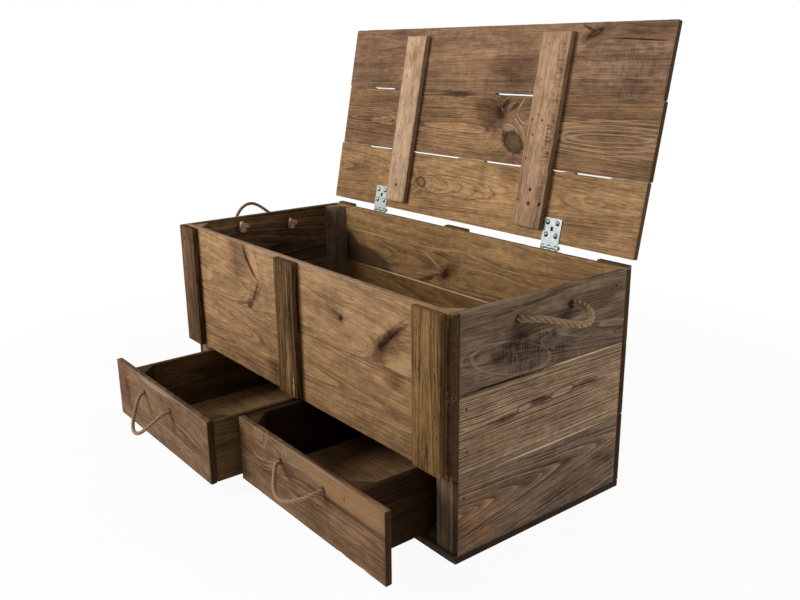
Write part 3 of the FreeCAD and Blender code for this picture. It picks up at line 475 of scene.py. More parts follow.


# The first colour is a painted highlight for the lit top edges of the end boards at their seams.
painted_edge_highlight, ash_line = (0.85, 0.68, 0.46), (0.33, 0.245, 0.175)
end_finish = {
    "right_upper": pine(
        "pine_right_upper", (0.212, 0.142, 0.095), 1.3, deep=0.45, line=1.5, pith=(0.0, 0.362, 0.020), ring=0.0062,
        taper=-0.075, lean=-0.03, wander=0.016, line_share=0.30, blotch=1.1, streak=0.6, thread=0.45, face=0.007,
        sawn=mark_or_painted_light((-0.045, 0.350), (0.105, 0.046), -4, 1.3, soft=0.6, ragged=0.9), marks_and_painted_light=(
            loop((-0.088, 0.347), (0.096, 0.029), -13, ash_line, 0.50, 0.0020, 0.08),
            mark_or_painted_light((-0.158, 0.361), (0.024, 0.011), 20, 0.55, (0.285, 0.195, 0.150), 0.7, 0.4, blend="MIX"),
            loop((-0.060, 0.340), (0.150, 0.034), -11, ash_line, 0.28, 0.0014, 0.08),
            # Painted shadow of the rope below its front hole.
            mark_or_painted_light((-0.066, 0.392), (0.050, 0.034), 30, 0.85, (0.38, 0.34, 0.32), 0.8),
            mark_or_painted_light((-0.080, 0.350), (0.072, 0.034), -6, 0.75, (0.46, 0.42, 0.41), 0.7, 0.8),
            mark_or_painted_light((0.090, 0.335), (0.120, 0.018), -7, 0.55, (0.50, 0.46, 0.45), 0.8, 0.8),
            # Painted shadow of the rope beside its back hole.
            mark_or_painted_light((0.045, 0.395), (0.035, 0.016), 0, 0.75, (0.40, 0.35, 0.34), 0.9),
            mark_or_painted_light((-0.185, 0.430), (0.040, 0.020), 0, 0.45, (0.6, 0.55, 0.5), 0.9),
            loop((0.140, 0.352), (0.112, 0.0125), -7, ash_line, 0.60, 0.0012, 0.15),
            loop((0.120, 0.345), (0.135, 0.0240), -7, ash_line, 0.40, 0.0012, 0.2),
            # Painted shade in the two rope holes.
            mark_or_painted_light((-0.076, 0.413), (0.010, 0.009), 0, 0.9, (0.16, 0.13, 0.12), 0.5),
            mark_or_painted_light((0.056, 0.414), (0.012, 0.010), 0, 0.9, (0.16, 0.13, 0.12), 0.5),
            mark_or_painted_light((-0.110, 0.3095), (0.100, 0.0024), 0, 0.97, (0.06, 0.05, 0.045), 0.5, 0.8),
            nail_hole((0.180, 0.425)), nail_hole((0.183, 0.335)))),
    "right_middle": pine(
        "pine_right_middle", (0.365, 0.239, 0.145), 2.9, deep=0.26, line=1.35, pith=(0.05, 0.247, 0.014), ring=0.0042,
        taper=0.012, wander=0.010, line_share=0.95, blotch=0.7, streak=0.8, thread=0.6, face=0.007, marks_and_painted_light=(
            mark_or_painted_light((0.045, 0.247), (0.160, 0.011), -1, 0.45, (0.45, 0.40, 0.42), 0.6, 0.9),
            mark_or_painted_light((-0.018, 0.250), (0.030, 0.007), -2, 0.9, (0.30, 0.24, 0.25), 0.35, 0.5),
            mark_or_painted_light((0.108, 0.254), (0.040, 0.006), 2, 0.8, (0.36, 0.30, 0.31), 0.35, 0.6),
            mark_or_painted_light((-0.096, 0.242), (0.028, 0.006), 2, 0.8, (0.36, 0.30, 0.31), 0.35, 0.6),
            mark_or_painted_light((0.042, 0.252), (0.032, 0.007), 4, 0.55, (0.42, 0.295, 0.185), 0.35, 0.3, blend="MIX"),
            mark_or_painted_light((-0.054, 0.248), (0.018, 0.006), 8, 0.55, (0.42, 0.295, 0.185), 0.35, 0.3, blend="MIX"),
            loop((0.042, 0.252), (0.034, 0.0082), 4, (0.10, 0.06, 0.04), 0.8, 0.0013),
            loop((-0.054, 0.248), (0.020, 0.0072), 8, (0.10, 0.06, 0.04), 0.8, 0.0012),
            # Painted highlight along this board's lit top edge, at the seam under the upper board.
            mark_or_painted_light((0.105, 0.3071), (0.100, 0.0014), 0, 0.95, painted_edge_highlight, 0.4, 0.8, blend="MIX"),
            mark_or_painted_light((-0.140, 0.200), (0.070, 0.040), 0, 0.45, (0.6, 0.55, 0.5), 0.9),
            nail_hole((-0.192, 0.282)), nail_hole((-0.190, 0.205)))),
    "right_lower": pine(
        "pine_right_lower", (0.240, 0.159, 0.108), 4.1, deep=0.42, line=1.8, pith=(0.0, 0.104, -0.010), ring=0.0062,
        taper=0.10, lean=0.07, wander=0.010, line_share=0.50, blotch=1.0, streak=0.5, thread=0.35, face=0.007, marks_and_painted_light=(
            mark_or_painted_light((-0.170, 0.070), (0.075, 0.075), 0, 0.6, (1.35, 1.08, 0.72), 0.9),
            mark_or_painted_light((0.150, 0.060), (0.090, 0.050), 0, 0.5, (0.6, 0.58, 0.6), 0.9),
            # Painted highlight along this board's lit top edge, at the seam under the middle board.
            mark_or_painted_light((0.020, 0.1570), (0.150, 0.0014), 0, 0.90, painted_edge_highlight, 0.4, 0.8, blend="MIX"),
            nail_hole((0.196, 0.060)), nail_hole((0.196, 0.036)), nail_hole((-0.196, 0.122))))}
for number, level in enumerate(("lower", "middle", "upper")):
    end_finish["left_" + level] = pine(
        "pine_left_" + level, (0.190, 0.122, 0.068), 5.2 + number, deep=0.3, line=1.6, pith=(0.0, 0.36, 0.09), ring=0.006,
        line_share=0.5, face=0.007, marks_and_painted_light=(
            # Painted light along the top of the inner face, and painted shade across its middle.
            mark_or_painted_light((-0.060, 0.436), (0.200, 0.012), 0, 0.55, (1.9, 1.75, 1.25), 0.8, 0.5),
            mark_or_painted_light((0.060, 0.335), (0.260, 0.060), 0, 0.75, (0.42, 0.40, 0.42), 0.8, 0.4)))
for side in ("left", "right"):
    for level in ("lower", "middle", "upper"):
        fit_plank(f"end_board_{side}_{level}", along_y, len(side) * 3 + len(level) + ord(level[0]) % 7,
                  end_finish[f"{side}_{level}"], slot="weathered_pine",
                  tight=(side, level) == ("right", "middle"),
                  notches=((-0.200, -0.015, 0.0026),) if (side, level) == ("right", "middle") else ())
base_finish = pine("pine_base", (0.12, 0.078, 0.050), 6.2, pith=(0, 0, -0.1))
fit_plank("base_board", flat_x, 31, base_finish, slot="weathered_pine", ripple=0.0009)

# ---- Front and back boards ---------------------------------------------------------------
# The same boards with a warmer, honey-brown stain, nailed over the ends of the end boards.
# The front has two above the drawers; the back has three.

front_upper_finish = pine(
    "pine_front_upper", (0.338, 0.200, 0.098), 7.7, deep=0.50, line=1.25, pith=(0.1, 0.335, -0.050), ring=0.0062,
    taper=0.035, lean=-0.02, wander=0.026, line_share=0.36, end=0.14, streak=0.45, thread=0.16,
    knots=(knot((-0.177, 0.317), (0.009, 0.0065), 20, 0.012, core=(0.10, 0.045, 0.02), turns=0.9, halo=3.0, ragged=0.5),
           knot((0.169, 0.370), (0.0065, 0.0050), 30, 0.010, core=(0.03, 0.018, 0.01), turns=0.8, halo=3.2, ragged=0.5),
           knot((0.316, 0.354), (0.050, 0.016), 37, 0.014, cored=0.0, spread=0.6)),
    marks_and_painted_light=(
        mark_or_painted_light((-0.222, 0.425), (0.060, 0.070), 0, 0.95, (0.52, 0.47, 0.50), 0.95, 0.5),
        mark_or_painted_light((-0.156, 0.424), (0.044, 0.013), -63, 0.75, (0.44, 0.25, 0.145), 0.40, 0.2, blend="MIX"),
        mark_or_painted_light((-0.170, 0.414), (0.050, 0.0080), -50.7, 0.80, (0.40, 0.34, 0.33), 0.9, 0.3, -0.008),
        mark_or_painted_light((-0.178, 0.424), (0.036, 0.0050), -54, 0.70, (0.20, 0.14, 0.12), 0.9, 0.6, -0.006),
        crack((-0.167, 0.414), 0.100, -50.7, 0.0034, -0.0072, 0.97),
        crack((-0.138, 0.420), 0.060, -71, 0.0014, 0.0, 0.6),
        mark_or_painted_light((-0.150, 0.345), (0.046, 0.012), 52, 0.80, (0.32, 0.25, 0.23), 0.9, 1.3),
        mark_or_painted_light((-0.150, 0.352), (0.030, 0.0035), 60, 0.75, (0.26, 0.19, 0.17), 0.8, 1.2),
        mark_or_painted_light((-0.212, 0.314), (0.040, 0.0040), 8, 0.85, (0.35, 0.28, 0.26), 0.6, 0.7),
        mark_or_painted_light((0.150, 0.374), (0.036, 0.012), -8, 0.65, (0.40, 0.32, 0.30), 0.8, 1.4),
        mark_or_painted_light((0.157, 0.377), (0.014, 0.0040), -15, 0.75, (0.30, 0.22, 0.20), 0.8, 1.6),
        mark_or_painted_light((0.132, 0.398), (0.046, 0.032), 0, 0.65, (0.55, 0.50, 0.52), 0.95),
        mark_or_painted_light((0.260, 0.420), (0.080, 0.020), -4, 0.50, (0.6, 0.55, 0.55), 0.9),
        mark_or_painted_light((-0.030, 0.440), (0.400, 0.008), 0, 0.35, (0.6, 0.56, 0.56), 0.9, 0.8),
        mark_or_painted_light((0.338, 0.322), (0.036, 0.016), 18, 0.75, (0.42, 0.265, 0.13), 0.6, 0.3, blend="MIX"),
        mark_or_painted_light((0.312, 0.350), (0.076, 0.028), 38, 0.75, (0.42, 0.35, 0.33), 0.9, 0.5),
        mark_or_painted_light((0.320, 0.371), (0.068, 0.0125), 37, 0.93, (0.16, 0.11, 0.10), 0.9, 0.8, 0.004),
        mark_or_painted_light((0.330, 0.376), (0.044, 0.0040), 38, 0.75, (0.12, 0.08, 0.07), 0.8, 1.2, 0.002),
        mark_or_painted_light((0.294, 0.346), (0.022, 0.0100), 30, 0.80, (0.20, 0.14, 0.12), 0.8, 0.9),
        mark_or_painted_light((0.283, 0.325), (0.026, 0.013), 20, 0.75, (0.30, 0.24, 0.21), 0.9, 0.6),
        mark_or_painted_light((0.325, 0.310), (0.050, 0.004), -2, 0.70, (0.3, 0.24, 0.22), 0.6, 0.8),
        # Painted highlight along the board's lit top edge.
        mark_or_painted_light((0.000, 0.4500), (0.500, 0.0030), 0, 0.70, (0.37, 0.275, 0.185), 0.6, 0.8, blend="MIX"),
        # Painted shadow of the right batten on the strip of board beside it.
        mark_or_painted_light((0.4735, 0.378), (0.0095, 0.085), 0, 0.95, (0.14, 0.11, 0.10), 0.25, 0.4)))
front_middle_finish = pine(
    "pine_front_middle", (0.295, 0.171, 0.080), 9.4, deep=0.55, line=1.35, pith=(0.0, 0.238, -0.032), ring=0.0054,
    taper=0.045, lean=-0.03, wander=0.022, line_share=0.44, end=0.14, streak=0.45, thread=0.18,
    knots=(knot((-0.240, 0.205), (0.05, 0.018), 0, 0.008, cored=0.0, spread=0.8),),
    marks_and_painted_light=(mark_or_painted_light((-0.083, 0.190), (0.034, 0.046), 0, 0.90, (0.36, 0.32, 0.33), 0.95, 0.5),
            mark_or_painted_light((-0.210, 0.180), (0.100, 0.016), -4, 0.40, (0.6, 0.54, 0.52), 0.9, 0.6),
            mark_or_painted_light((0.230, 0.276), (0.090, 0.018), -3, 0.50, (0.55, 0.5, 0.5), 0.9, 0.6),
            mark_or_painted_light((0.330, 0.292), (0.035, 0.018), 0, 0.80, (0.35, 0.30, 0.28), 0.8, 0.5),
            # Painted shadow of the right batten on the strip of board beside it.
            mark_or_painted_light((0.4735, 0.232), (0.0095, 0.085), 0, 0.95, (0.14, 0.11, 0.10), 0.25, 0.4)))
fit_plank("front_board_upper", along_x, 40, front_upper_finish)
fit_plank("front_board_middle", along_x, 41, front_middle_finish)

straw, honey_line = (0.44, 0.28, 0.13), (0.55, 0.40, 0.24)
back_upper_finish = pine(
    "pine_back_upper", (0.305, 0.175, 0.074), 12.1, end=0.12, deep=0.50, line=1.25, pith=(0.1, 0.350, -0.040), ring=0.0085,
    taper=0.03, wander=0.035, line_share=0.35, thread=0.3, rim=0.0018, face=-0.007,
    knots=(knot((-0.025, 0.340), (0.026, 0.010), 22, 0.024, cored=0.0, spread=0.25),
           knot((-0.078, 0.325), (0.024, 0.0045), 14, 0.010, cored=0.0)),
    # Painted shadow: the dark wedge low on the inside of the back wall, by the left corner post.
    marks_and_painted_light=(mark_or_painted_light((-0.345, 0.316), (0.124, 0.040), -4, 0.90, (0.070, 0.040, 0.020), 0.25, 0.12, blend="MIX"),
            mark_or_painted_light((-0.412, 0.350), (0.052, 0.032), -25, 0.90, (0.070, 0.040, 0.020), 0.25, 0.12, blend="MIX"),
            mark_or_painted_light((-0.455, 0.345), (0.050, 0.060), 0, 0.80, (0.30, 0.28, 0.28), 0.5, 0.3),
            mark_or_painted_light((-0.020, 0.344), (0.040, 0.022), 18, 0.75, (0.42, 0.32, 0.26), 0.95, 0.6),
            mark_or_painted_light((-0.028, 0.342), (0.030, 0.014), 28, 0.92, (0.15, 0.10, 0.09), 0.85, 0.7),
            mark_or_painted_light((-0.004, 0.352), (0.016, 0.011), 50, 0.55, (0.15, 0.065, 0.018), 0.8, 0.5, blend="MIX"),
            mark_or_painted_light((-0.086, 0.320), (0.040, 0.0080), 24, 0.90, (0.24, 0.14, 0.10), 0.8, 1.0),
            ray((-0.113, 0.382), (-0.040, 0.346), 0.0022, straw, 0.85, 0.002),
            ray((-0.100, 0.386), (-0.030, 0.352), 0.0012, (0.10, 0.055, 0.022), 0.7, 0.002),
            ray((-0.113, 0.382), (0.000, 0.400), 0.0016, straw, 0.7),
            ray((-0.437, 0.389), (-0.186, 0.391), 0.0018, straw, 0.85, 0.002),
            ray((-0.405, 0.397), (-0.200, 0.391), 0.0014, (0.10, 0.055, 0.022), 0.6, 0.002),
            ray((-0.186, 0.391), (0.060, 0.406), 0.0018, straw, 0.80, -0.003),
            ray((0.000, 0.366), (0.200, 0.370), 0.0016, straw, 0.6, 0.003),
            mark_or_painted_light((-0.045, 0.386), (0.030, 0.009), 0, 0.6, (0.42, 0.34, 0.30), 0.6),
            mark_or_painted_light((0.240, 0.390), (0.260, 0.090), 0, 0.60, (1.30, 1.33, 1.45), 0.9),
            mark_or_painted_light((0.30, 0.40), (0.10, 0.020), 2, 0.40, (0.6, 0.55, 0.5), 0.9)))
back_middle_finish = pine("pine_back_middle", (0.215, 0.117, 0.040), 14.8, end=0.12, deep=0.55, pith=(0.1, 0.25, -0.05), ring=0.007,
                          wander=0.03, line_share=0.3, worn=1.2, rim=0.0009, marks_and_painted_light=(
                              # Painted highlight along the board's lit top edge.
                              mark_or_painted_light((-0.060, 0.3030), (0.400, 0.0014), 0, 0.95, (0.75, 0.55, 0.34), 0.5, 0.6, blend="MIX"),))
back_finish = pine("pine_back", (0.200, 0.112, 0.042), 13.3, end=0.12, pith=(0.1, 0.25, -0.05), ring=0.007, wander=0.03)
fit_plank("back_board_lower", along_x, 50, back_finish)
fit_plank("back_board_middle", along_x, 51, back_middle_finish)
fit_plank("back_board_upper", along_x, 52, back_upper_finish)

# ---- Inside: posts, floor, cleats, runners and guides --------------------------------------
# Triangular posts stand in the corners, and the walls are nailed to them. Two cleats carry a
# thin plywood floor; below it runners and guide strips keep the drawers in line.

post_finish = pine("pine_post", (0.200, 0.132, 0.084), 15.5, line=1.3, end=2.0, pith=(0.02, 0.1, 0.03), ring=0.006, face=0.021)
inner_finish = pine("pine_inner", (0.10, 0.064, 0.036), 16.1, pith=(0.02, 0.1, 0.03), ring=0.005)
sheet_finish = pine("plywood_sheet", (0.15, 0.098, 0.054), 16.8, deep=0.55, pith=(0.0, 0.0, 0.09), ring=0.016,
                    wander=0.06, line_share=0.2, thread=0.2, face=0.0)


def corner_prism(low, high, toward, seed):
    """A board split from corner to corner, as a post in a corner; toward points to the open side."""
    low, high = Vector(low), Vector(high)
    return plank(low, high, along_z, seed, ripple=0.0004, shaved=(((low + high) / 2, Vector((*toward, 0.0))),))


for end, out_y in (("front", -1), ("back", 1)):
    for side, out_x in (("left", -1), ("right", 1)):
        node = f"corner_post_{end}_{side}"
        post = corner_prism(*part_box(node), (-out_x, -out_y), 80 + out_x + 3 * out_y)
        dress(settle("split_" + node, post, post_finish), "carcass", "inner_pine", node)


def strips(name, node, blocks, lay, seed, material, body="carcass", slot="inner_pine", **cut):
    """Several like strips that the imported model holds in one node."""
    joined = bmesh.new()
    for number, (low, high) in enumerate(blocks):
        part = bpy.data.meshes.new("strip")
        strip = plank(low, high, lay, seed + number, wear=0.0009, **cut)
        strip.to_mesh(part)
        strip.free()
        joined.from_mesh(part)
        bpy.data.meshes.remove(part)
    return dress(settle(name, joined, material), body, slot, node)


run_low, run_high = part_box("drawer_runners")
guide_low, guide_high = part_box("drawer_guides")
floor_low, floor_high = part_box("trunk_floor")
cleat_low, cleat_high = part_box("floor_cleats")
strips("planed_runners", "drawer_runners", [
    ((left, run_low[1], run_low[2]), (right, run_high[1], run_high[2]))
    for left, right in ((run_low[0], -0.378), (-0.020, 0.020), (0.378, run_high[0]))], along_y, 90, inner_finish)
strips("planed_guides", "drawer_guides", [
    ((guide_low[0], guide_low[1], guide_low[2]), (-0.402, guide_high[1], guide_high[2])),
    ((-0.003, guide_low[1], run_high[2]), (0.003, guide_high[1], guide_high[2])),
    ((0.402, guide_low[1], guide_low[2]), (guide_high[0], guide_high[1], guide_high[2]))], along_y, 94, inner_finish)
strips("planed_cleats", "floor_cleats", [
    ((cleat_low[0], near, cleat_low[2]), (cleat_high[0], near + 0.018, cleat_high[2]))
    for near in (cleat_low[1], cleat_high[1] - 0.018)], along_x, 97, inner_finish)
floor_corner, floor_mid = 0.044, (floor_low[2] + floor_high[2]) / 2
trunk_sheet = plank(floor_low, floor_high, flat_x, 99, wear=0.0008, shaved=[
    ((sign_x * (floor_high[0] - floor_corner / 2), sign_y * (floor_high[1] - floor_corner / 2), floor_mid),
     Vector((sign_x, sign_y, 0))) for sign_x in (-1, 1) for sign_y in (-1, 1)])
dress(settle("trunk_sheet", trunk_sheet, sheet_finish), "carcass", "plywood", "trunk_floor")

# ---- Battens ---------------------------------------------------------------------------------
# Rough battens nailed upright across the boards, three on the front and three on the back,
# each sawn to its own width. Their wood is darker and more olive than the boards.

batten_finishes = {
    "front_left": pine("pine_batten_left", (0.103, 0.054, 0.024), 19.5, deep=0.32, line=1.8, pith=(0.2, -0.44, -0.02),
                       ring=0.006, wander=0.012, line_share=0.6, streak=1.2, thread=0.6,
                       marks_and_painted_light=(mark_or_painted_light((0.300, -0.465), (0.200, 0.010), 0, 0.5, (1.5, 1.4, 1.35), 0.6),)),
    "front_centre": pine("pine_batten_centre", (0.096, 0.050, 0.018), 20.6, deep=0.28, line=2.2, end=0.8,
                         pith=(0.2, -0.01, -0.02), ring=0.008, wander=0.012, line_share=0.6, streak=1.4, thread=0.75,
                         marks_and_painted_light=(mark_or_painted_light((0.235, -0.004), (0.080, 0.006), 0, 0.6, (0.28, 0.18, 0.075), 0.6, 1.2, blend="MIX"),
                                 mark_or_painted_light((0.390, 0.002), (0.040, 0.003), 0, 0.6, (0.28, 0.18, 0.08), 0.6, 1.2, blend="MIX"),
                                 mark_or_painted_light((0.190, 0.012), (0.025, 0.003), 0, 0.9, (0.42, 0.30, 0.14), 0.6, 1.0, blend="MIX"))),
    "front_right": pine("pine_batten_right", (0.212, 0.119, 0.044), 22.4, deep=0.45, line=1.45, end=0.7,
                        pith=(0.2, 0.43, -0.03),
                        ring=0.006, wander=0.012, line_share=0.5, streak=1.1, thread=0.65,
                        marks_and_painted_light=(mark_or_painted_light((0.205, 0.432), (0.022, 0.003), 0, 0.8, (0.2, 0.16, 0.14), 0.6, 0.9),
                                mark_or_painted_light((0.180, 0.410), (0.030, 0.020), 0, 0.5, (0.5, 0.44, 0.4), 0.9, 0.8),
                                mark_or_painted_light((0.300, 0.398), (0.120, 0.004), 0, 0.5, (0.5, 0.44, 0.4), 0.7, 0.8),
                                # Painted shade on the batten's right side face.
                                mark_or_painted_light((0.306, 0.4656), (0.300, 0.0015), 0, 0.9, (0.36, 0.33, 0.22), 0.4, 0.2),
                                nail_hole((0.236, 0.456), 0.0022)))}
back_batten_finish = pine("pine_batten_back", (0.16, 0.098, 0.048), 24.0, line=1.4, pith=(0.2, 0.0, -0.02), ring=0.006)
for number, place in enumerate(("left", "centre", "right")):
    fit_plank(f"front_batten_{place}", along_z, 60 + number, batten_finishes[f"front_{place}"], slot="batten_pine",
              ripple=0.0012, wear=0.0016, corner=0.0015)
    fit_plank(f"back_batten_{place}", along_z, 66 + number, back_batten_finish, slot="batten_pine",
              ripple=0.0012, wear=0.0016, corner=0.0015)

# ---- Drawers ---------------------------------------------------------------------------------
# Two plain nailed boxes of 12 mm boards round a thin plywood bottom, with triangular blocks
# in the corners. The fronts are 14 mm boards; their dark ends show plain end grain.

drawer_fronts = {
    "left": pine("pine_drawer_left", (0.192, 0.112, 0.062), 17.5, deep=0.42, line=1.7, pith=(-0.33, 0.118, -0.022),
                 ring=0.0078, taper=0.05, lean=-0.15, wander=0.020, line_share=0.24, streak=0.35, thread=0.16, worn=1.15,
                 rim=0.0014,
                 marks_and_painted_light=(mark_or_painted_light((-0.440, 0.110), (0.050, 0.070), 10, 0.75, (0.70, 0.52, 0.49), 0.5, 0.6),
                         mark_or_painted_light((-0.420, 0.095), (0.012, 0.050), 14, 0.65, (0.42, 0.32, 0.34), 0.9, 1.4),
                         mark_or_painted_light((-0.268, 0.150), (0.100, 0.006), 0, 0.5, (0.40, 0.31, 0.22), 0.6, 0.6, blend="MIX"),
                         mark_or_painted_light((-0.300, 0.120), (0.090, 0.026), -8, 0.50, (0.172, 0.110, 0.062), 0.7, 0.4, blend="MIX"),
                         ray((-0.340, 0.096), (-0.288, 0.074), 0.0024, (0.080, 0.045, 0.028), 0.60, -0.002),
                         ray((-0.288, 0.074), (-0.047, 0.060), 0.0026, (0.080, 0.045, 0.028), 0.65, 0.006),
                         ray((-0.284, 0.069), (-0.047, 0.055), 0.0018, (0.34, 0.24, 0.15), 0.55, 0.006),
                         ray((-0.200, 0.098), (-0.046, 0.080), 0.0020, (0.34, 0.24, 0.15), 0.60, 0.008),
                         ray((-0.200, 0.092), (-0.046, 0.075), 0.0024, (0.085, 0.048, 0.030), 0.50, 0.008),
                         # Painted shade in the two rope holes.
                         mark_or_painted_light((-0.3180, 0.1205), (0.0075, 0.0075), 0, 0.9, (0.14, 0.10, 0.09), 0.5),
                         mark_or_painted_light((-0.1830, 0.1205), (0.0075, 0.0075), 0, 0.9, (0.14, 0.10, 0.09), 0.5),
                         mark_or_painted_light((-0.240, 0.1580), (0.240, 0.0034), 0, 0.80, (0.50, 0.43, 0.40), 0.4, 0.6, depth=0.040),
                         # Painted highlight along the lit arris at the top of the front face.
                         mark_or_painted_light((-0.240, 0.1552), (0.240, 0.0012), 0, 0.60, (0.40, 0.30, 0.21), 0.6, 1.3, blend="MIX", depth=0.004),
                         mark_or_painted_light((-0.18, 0.135), (0.05, 0.02), -6, 0.4, (0.6, 0.55, 0.5), 0.9))),
    "right": pine("pine_drawer_right", (0.188, 0.104, 0.054), 18.3, deep=0.42, line=1.5, pith=(0.05, 0.085, -0.030),
                  ring=0.0052, taper=0.01, lean=-0.02, wander=0.012, line_share=0.42, streak=0.40, thread=0.22, worn=1.15,
                  rim=0.0014,
                  knots=(knot((0.086, 0.152), (0.020, 0.024), 0, 0.020, cored=0.0, spread=0.5),
                         knot((0.168, 0.140), (0.020, 0.018), 0, 0.016, cored=0.0, spread=0.5)),
                  marks_and_painted_light=(mark_or_painted_light((0.400, 0.142), (0.190, 0.030), -1, 0.65, (0.300, 0.165, 0.078), 0.22, 0.12, blend="MIX"),
                          mark_or_painted_light((0.215, 0.140), (0.050, 0.018), -10, 0.70, (0.230, 0.145, 0.080), 0.6, 0.3, blend="MIX"),
                          mark_or_painted_light((0.360, 0.108), (0.170, 0.006), -1, 0.80, (0.40, 0.32, 0.31), 0.7, 0.4),
                          mark_or_painted_light((0.060, 0.120), (0.100, 0.060), 0, 0.45, (0.70, 0.64, 0.60), 0.8),
                          mark_or_painted_light((0.084, 0.150), (0.034, 0.036), 0, 0.45, (0.195, 0.130, 0.066), 0.8, 0.3, blend="MIX"),
                          mark_or_painted_light((0.208, 0.148), (0.026, 0.016), 0, 0.60, (0.205, 0.135, 0.068), 0.7, 0.3, blend="MIX"),
                          mark_or_painted_light((0.084, 0.152), (0.0055, 0.0090), 0, 0.6, (0.29, 0.20, 0.092), 0.5, 0.2, blend="MIX"),
                          loop((0.084, 0.154), (0.0120, 0.0165), 8, (0.32, 0.225, 0.11), 0.60, 0.0034, 0.2),
                          loop((0.086, 0.151), (0.0175, 0.0215), 8, (0.085, 0.052, 0.030), 0.45, 0.0026, 0.2),
                          loop((0.089, 0.149), (0.0225, 0.0260), 12, (0.31, 0.215, 0.11), 0.50, 0.0032, 0.2),
                          ray((0.164, 0.157), (0.173, 0.126), 0.0030, (0.32, 0.23, 0.14), 0.60, 0.013),
                          ray((0.158, 0.152), (0.166, 0.128), 0.0030, (0.30, 0.21, 0.13), 0.45, 0.008),
                          ray((0.106, 0.152), (0.136, 0.147), 0.0020, (0.34, 0.24, 0.14), 0.55),
                          ray((0.136, 0.147), (0.168, 0.139), 0.0020, (0.34, 0.24, 0.14), 0.55),
                          ray((0.053, 0.103), (0.104, 0.100), 0.0018, (0.33, 0.235, 0.15), 0.65, -0.006),
                          ray((0.104, 0.100), (0.161, 0.117), 0.0018, (0.33, 0.235, 0.15), 0.65, -0.003),
                          ray((0.110, 0.096), (0.158, 0.109), 0.0014, (0.31, 0.21, 0.13), 0.65, -0.003),
                          ray((0.084, 0.086), (0.157, 0.104), 0.0016, (0.32, 0.22, 0.13), 0.65, -0.003),
                          ray((0.088, 0.078), (0.153, 0.097), 0.0016, (0.31, 0.21, 0.13), 0.60, -0.002),
                          ray((0.170, 0.131), (0.234, 0.134), 0.0016, (0.33, 0.23, 0.14), 0.65, -0.004),
                          ray((0.062, 0.140), (0.100, 0.112), 0.0018, (0.075, 0.045, 0.026), 0.45, -0.006),
                          ray((0.157, 0.086), (0.256, 0.107), 0.0018, (0.31, 0.21, 0.13), 0.65, 0.003),
                          ray((0.181, 0.098), (0.471, 0.112), 0.0020, (0.075, 0.042, 0.026), 0.55, -0.004),
                          ray((0.175, 0.086), (0.471, 0.098), 0.0016, (0.29, 0.18, 0.11), 0.6, -0.004),
                          # Painted shadow of the rope on the face.
                          mark_or_painted_light((0.190, 0.108), (0.034, 0.016), -20, 0.55, (0.40, 0.33, 0.32), 0.9, 0.5),
                          # Painted shade in the two rope holes.
                          mark_or_painted_light((0.1615, 0.1205), (0.0075, 0.0075), 0, 0.9, (0.14, 0.10, 0.09), 0.5),
                          mark_or_painted_light((0.3025, 0.1205), (0.0075, 0.0075), 0, 0.9, (0.14, 0.10, 0.09), 0.5),
                          mark_or_painted_light((0.240, 0.1580), (0.240, 0.0034), 0, 0.88, (0.38, 0.32, 0.31), 0.4, 0.6, depth=0.040),
                          # Painted highlight along the lit arris at the top of the front face.
                          mark_or_painted_light((0.240, 0.1552), (0.240, 0.0012), 0, 0.60, (0.40, 0.30, 0.21), 0.6, 1.3, blend="MIX", depth=0.004),
                          crack((0.366, 0.130), 0.011, 80, 0.0014)))}
drawer_finish = pine("pine_drawer_box", (0.125, 0.072, 0.030), 18.9, deep=0.42, line=1.4, end=0.6, pith=(0.0, 0.1, 0.05), ring=0.006)
block_finish = pine("pine_drawer_block", (0.072, 0.046, 0.020), 19.6, line=1.4, end=0.8, pith=(0.0, 0.1, 0.05), ring=0.006)
# A near-black finish that paints the shade inside the right drawer onto its walls.
painted_shade_walls = pine("pine_drawer_painted_shade", (0.030, 0.0135, 0.0045), 26.0, line=1.5, pith=(0.0, 0.1, 0.05), ring=0.006)
drawer_sheets = [
    pine(f"plywood_{side}", (0.445, 0.255, 0.112), 27.2 + place, deep=0.6, pith=(0.0, 0.0, 0.12), ring=0.02, wander=0.08,
         line_share=0.15, thread=0.15, face=0.0, marks_and_painted_light=painted_light_and_shade)
    for side, place, painted_light_and_shade in (
        ("left", 0.0, ()),
        # On the right bottom: painted shade over two patches and a painted pool of light between them.
        ("right", 0.6, (mark_or_painted_light((0.110, -0.085), (0.120, 0.050), 4, 0.75, (0.46, 0.42, 0.42), 0.5, 0.5),
                        mark_or_painted_light((0.075, -0.200), (0.070, 0.075), 20, 0.70, (0.55, 0.50, 0.50), 0.7, 0.6),
                        mark_or_painted_light((0.180, -0.140), (0.050, 0.045), 10, 0.60, (1.20, 1.25, 1.45), 0.5, 0.7))))]
